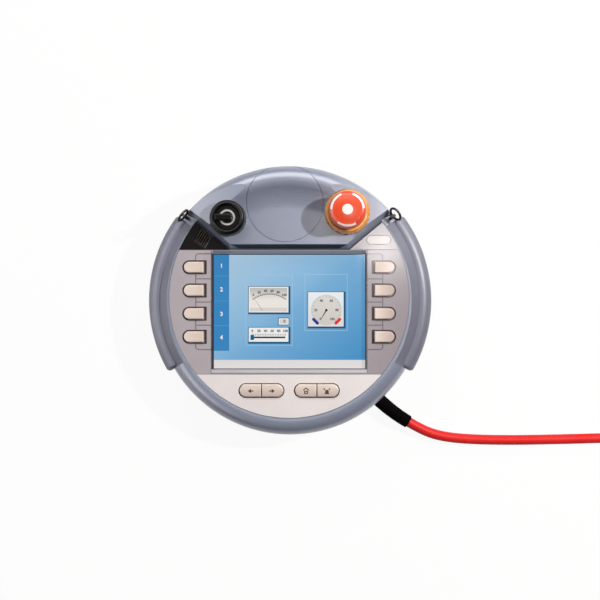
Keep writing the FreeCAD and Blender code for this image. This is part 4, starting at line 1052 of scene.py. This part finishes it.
stopSet = {"x": 0.0583, "y": 0.0873, "above": 0.002, "inner": 0.0146, "outer": 0.0166, "sweep": 68.0,
           "arcs": (233.0, 112.0, 4.0), "arcSteps": 24, "dot": 0.0051, "hole": 0.0002, "dotSteps": 40,
           "weld": 0.00001, "cuts": 3, "lift": 0.00006}
whitePrint = moulded("whitePrint", (250, 246, 242), (242, 236, 231), rough=0.3, grain=1600, depth=0.05)


def dropOn(piece, nodeName, lift):
    # drops a flat decal on the solid below it
    activate(piece)
    wrap = piece.modifiers.new("drop", "SHRINKWRAP")
    wrap.target = nodes[nodeName]
    wrap.wrap_method = "PROJECT"
    wrap.use_project_z = True
    wrap.use_negative_direction = True
    wrap.use_positive_direction = False
    wrap.offset = lift
    bpy.ops.object.modifier_apply(modifier=wrap.name)


def makeStopMarks():
    place = (stopSet["x"], stopSet["y"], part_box("estop_head")[1].z + stopSet["above"])
    pieces = [arcBand("stopArc", place, stopSet["inner"], stopSet["outer"], start, stopSet["sweep"],
                      stopSet["arcSteps"]) for start in stopSet["arcs"]]
    dot = arcBand("stopDot", place, stopSet["hole"], stopSet["dot"], 0, 360, stopSet["dotSteps"])
    marks = joinUp("stopMarks", pieces + [dot])
    with editing():
        bpy.ops.mesh.select_all(action="SELECT")
        bpy.ops.mesh.remove_doubles(threshold=stopSet["weld"])
        bpy.ops.mesh.subdivide(number_cuts=stopSet["cuts"])
    paint(facesUp(marks), whitePrint)
    dropOn(marks, "estop_head", stopSet["lift"])
    fitTo(marks, "estop_head", stopSet["lift"])


makeStopMarks()
print("stop button marked")


# grey outline round the blank badge

badgeSet = {"place": (0.0896, 0.0606), "size": (0.0246, 0.0094), "corner": 0.0046, "steps": 12,
            "line": 0.0005, "lift": 0.00003}
outlineInk = moulded("outlineInk", (136, 134, 140), (124, 122, 128), rough=0.45, grain=1800, depth=0.1)


def makeBadgeLine():
    place = badgeSet["place"] + (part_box("badge_plate")[1].z + badgeSet["lift"],)
    line = roundedPatch("badgeLine", place, badgeSet["size"], badgeSet["corner"], badgeSet["steps"])
    with editing():
        bpy.ops.mesh.select_all(action="SELECT")
        hollowOut(badgeSet["line"])
    fitTo(paint(facesUp(line), outlineInk), "panel", badgeSet["lift"] / 2)


makeBadgeLine()
print("badge outlined")


# dark signs on the keys below the screen: two arrows, a house and a beacon

signSet = {"y": -0.0904, "places": (-0.0383, -0.0171, 0.0170, 0.0378), "line": 0.00105, "lift": 0.00004}
arrowSet = {"length": 0.0056, "head": 0.0022, "headLength": 0.00308}
houseSet = {"ridge": 0.0031, "roof": 0.0037, "turns": (-42.0, 222.0), "wall": (0.0040, 0.0032),
            "drop": 0.0013}
beaconSet = {"lamp": (0.0036, 0.0038), "drop": 0.0008, "corner": 0.0013, "steps": 4,
             "foot": (0.0050, 0.0007), "footDrop": 0.0027, "ray": 0.0021, "rayX": 0.0018,
             "rayY": 0.0012, "rayTurn": 48.0}
signInk = moulded("signInk", (66, 54, 48), (54, 44, 39), rough=0.5, grain=1800, depth=0.1)


def stroke(place, length, turn):
    # a short bar that starts at the place and runs at the given angle
    bar = flatPatch("signStroke", (place[0] + length / 2, place[1], place[2]), (length, signSet["line"]))
    with editing():
        turnAll(place, turn)
    return bar


def makeArrow(x, y, height, way):
    half, head, headLength = arrowSet["length"] / 2, arrowSet["head"], arrowSet["headLength"]
    shaft = stroke((x - way * half, y, height), arrowSet["length"] - head, 90 - 90 * way)
    middle = half - headLength / 2
    point = flatPatch("arrowHead", (x + way * middle, y, height), (headLength, 2 * head))
    with editing():
        pickVerts(lambda co: (co.x - x) * way > middle)
        bpy.ops.mesh.merge(type="CENTER")
    return [shaft, point]


def makeHouse(x, y, height):
    ridge = (x, y + houseSet["ridge"], height)
    roof = [stroke(ridge, houseSet["roof"], turn) for turn in houseSet["turns"]]
    wall = flatPatch("houseWall", (x, y - houseSet["drop"], height), houseSet["wall"])
    with editing():
        hollowOut(signSet["line"])
    return roof + [wall]


def makeBeacon(x, y, height):
    lamp = flatPatch("beaconLamp", (x, y - beaconSet["drop"], height), beaconSet["lamp"])
    with editing():
        pickVerts(lambda co: co.y > y)
        bpy.ops.mesh.bevel(offset=beaconSet["corner"], segments=beaconSet["steps"], affect="VERTICES")
    foot = flatPatch("beaconFoot", (x, y - beaconSet["footDrop"], height), beaconSet["foot"])
    rays = [stroke((x + way * beaconSet["rayX"], y + beaconSet["rayY"], height), beaconSet["ray"],
                   90 - way * beaconSet["rayTurn"]) for way in (-1, 1)]
    return [lamp, foot] + rays


def makeSigns():
    y = signSet["y"]
    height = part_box("lower_key_1")[1].z + signSet["lift"]
    xs = signSet["places"]
    signs = [makeArrow(xs[0], y, height, -1), makeArrow(xs[1], y, height, 1), makeHouse(xs[2], y, height),
             makeBeacon(xs[3], y, height)]
    for i, strokes in enumerate(signs, 1):
        sign = facesUp(joinUp("keySign%d" % i, strokes))
        fitTo(paint(sign, signInk), "lower_key_%d" % i, signSet["lift"] / 2)


makeSigns()
print("keys signed")
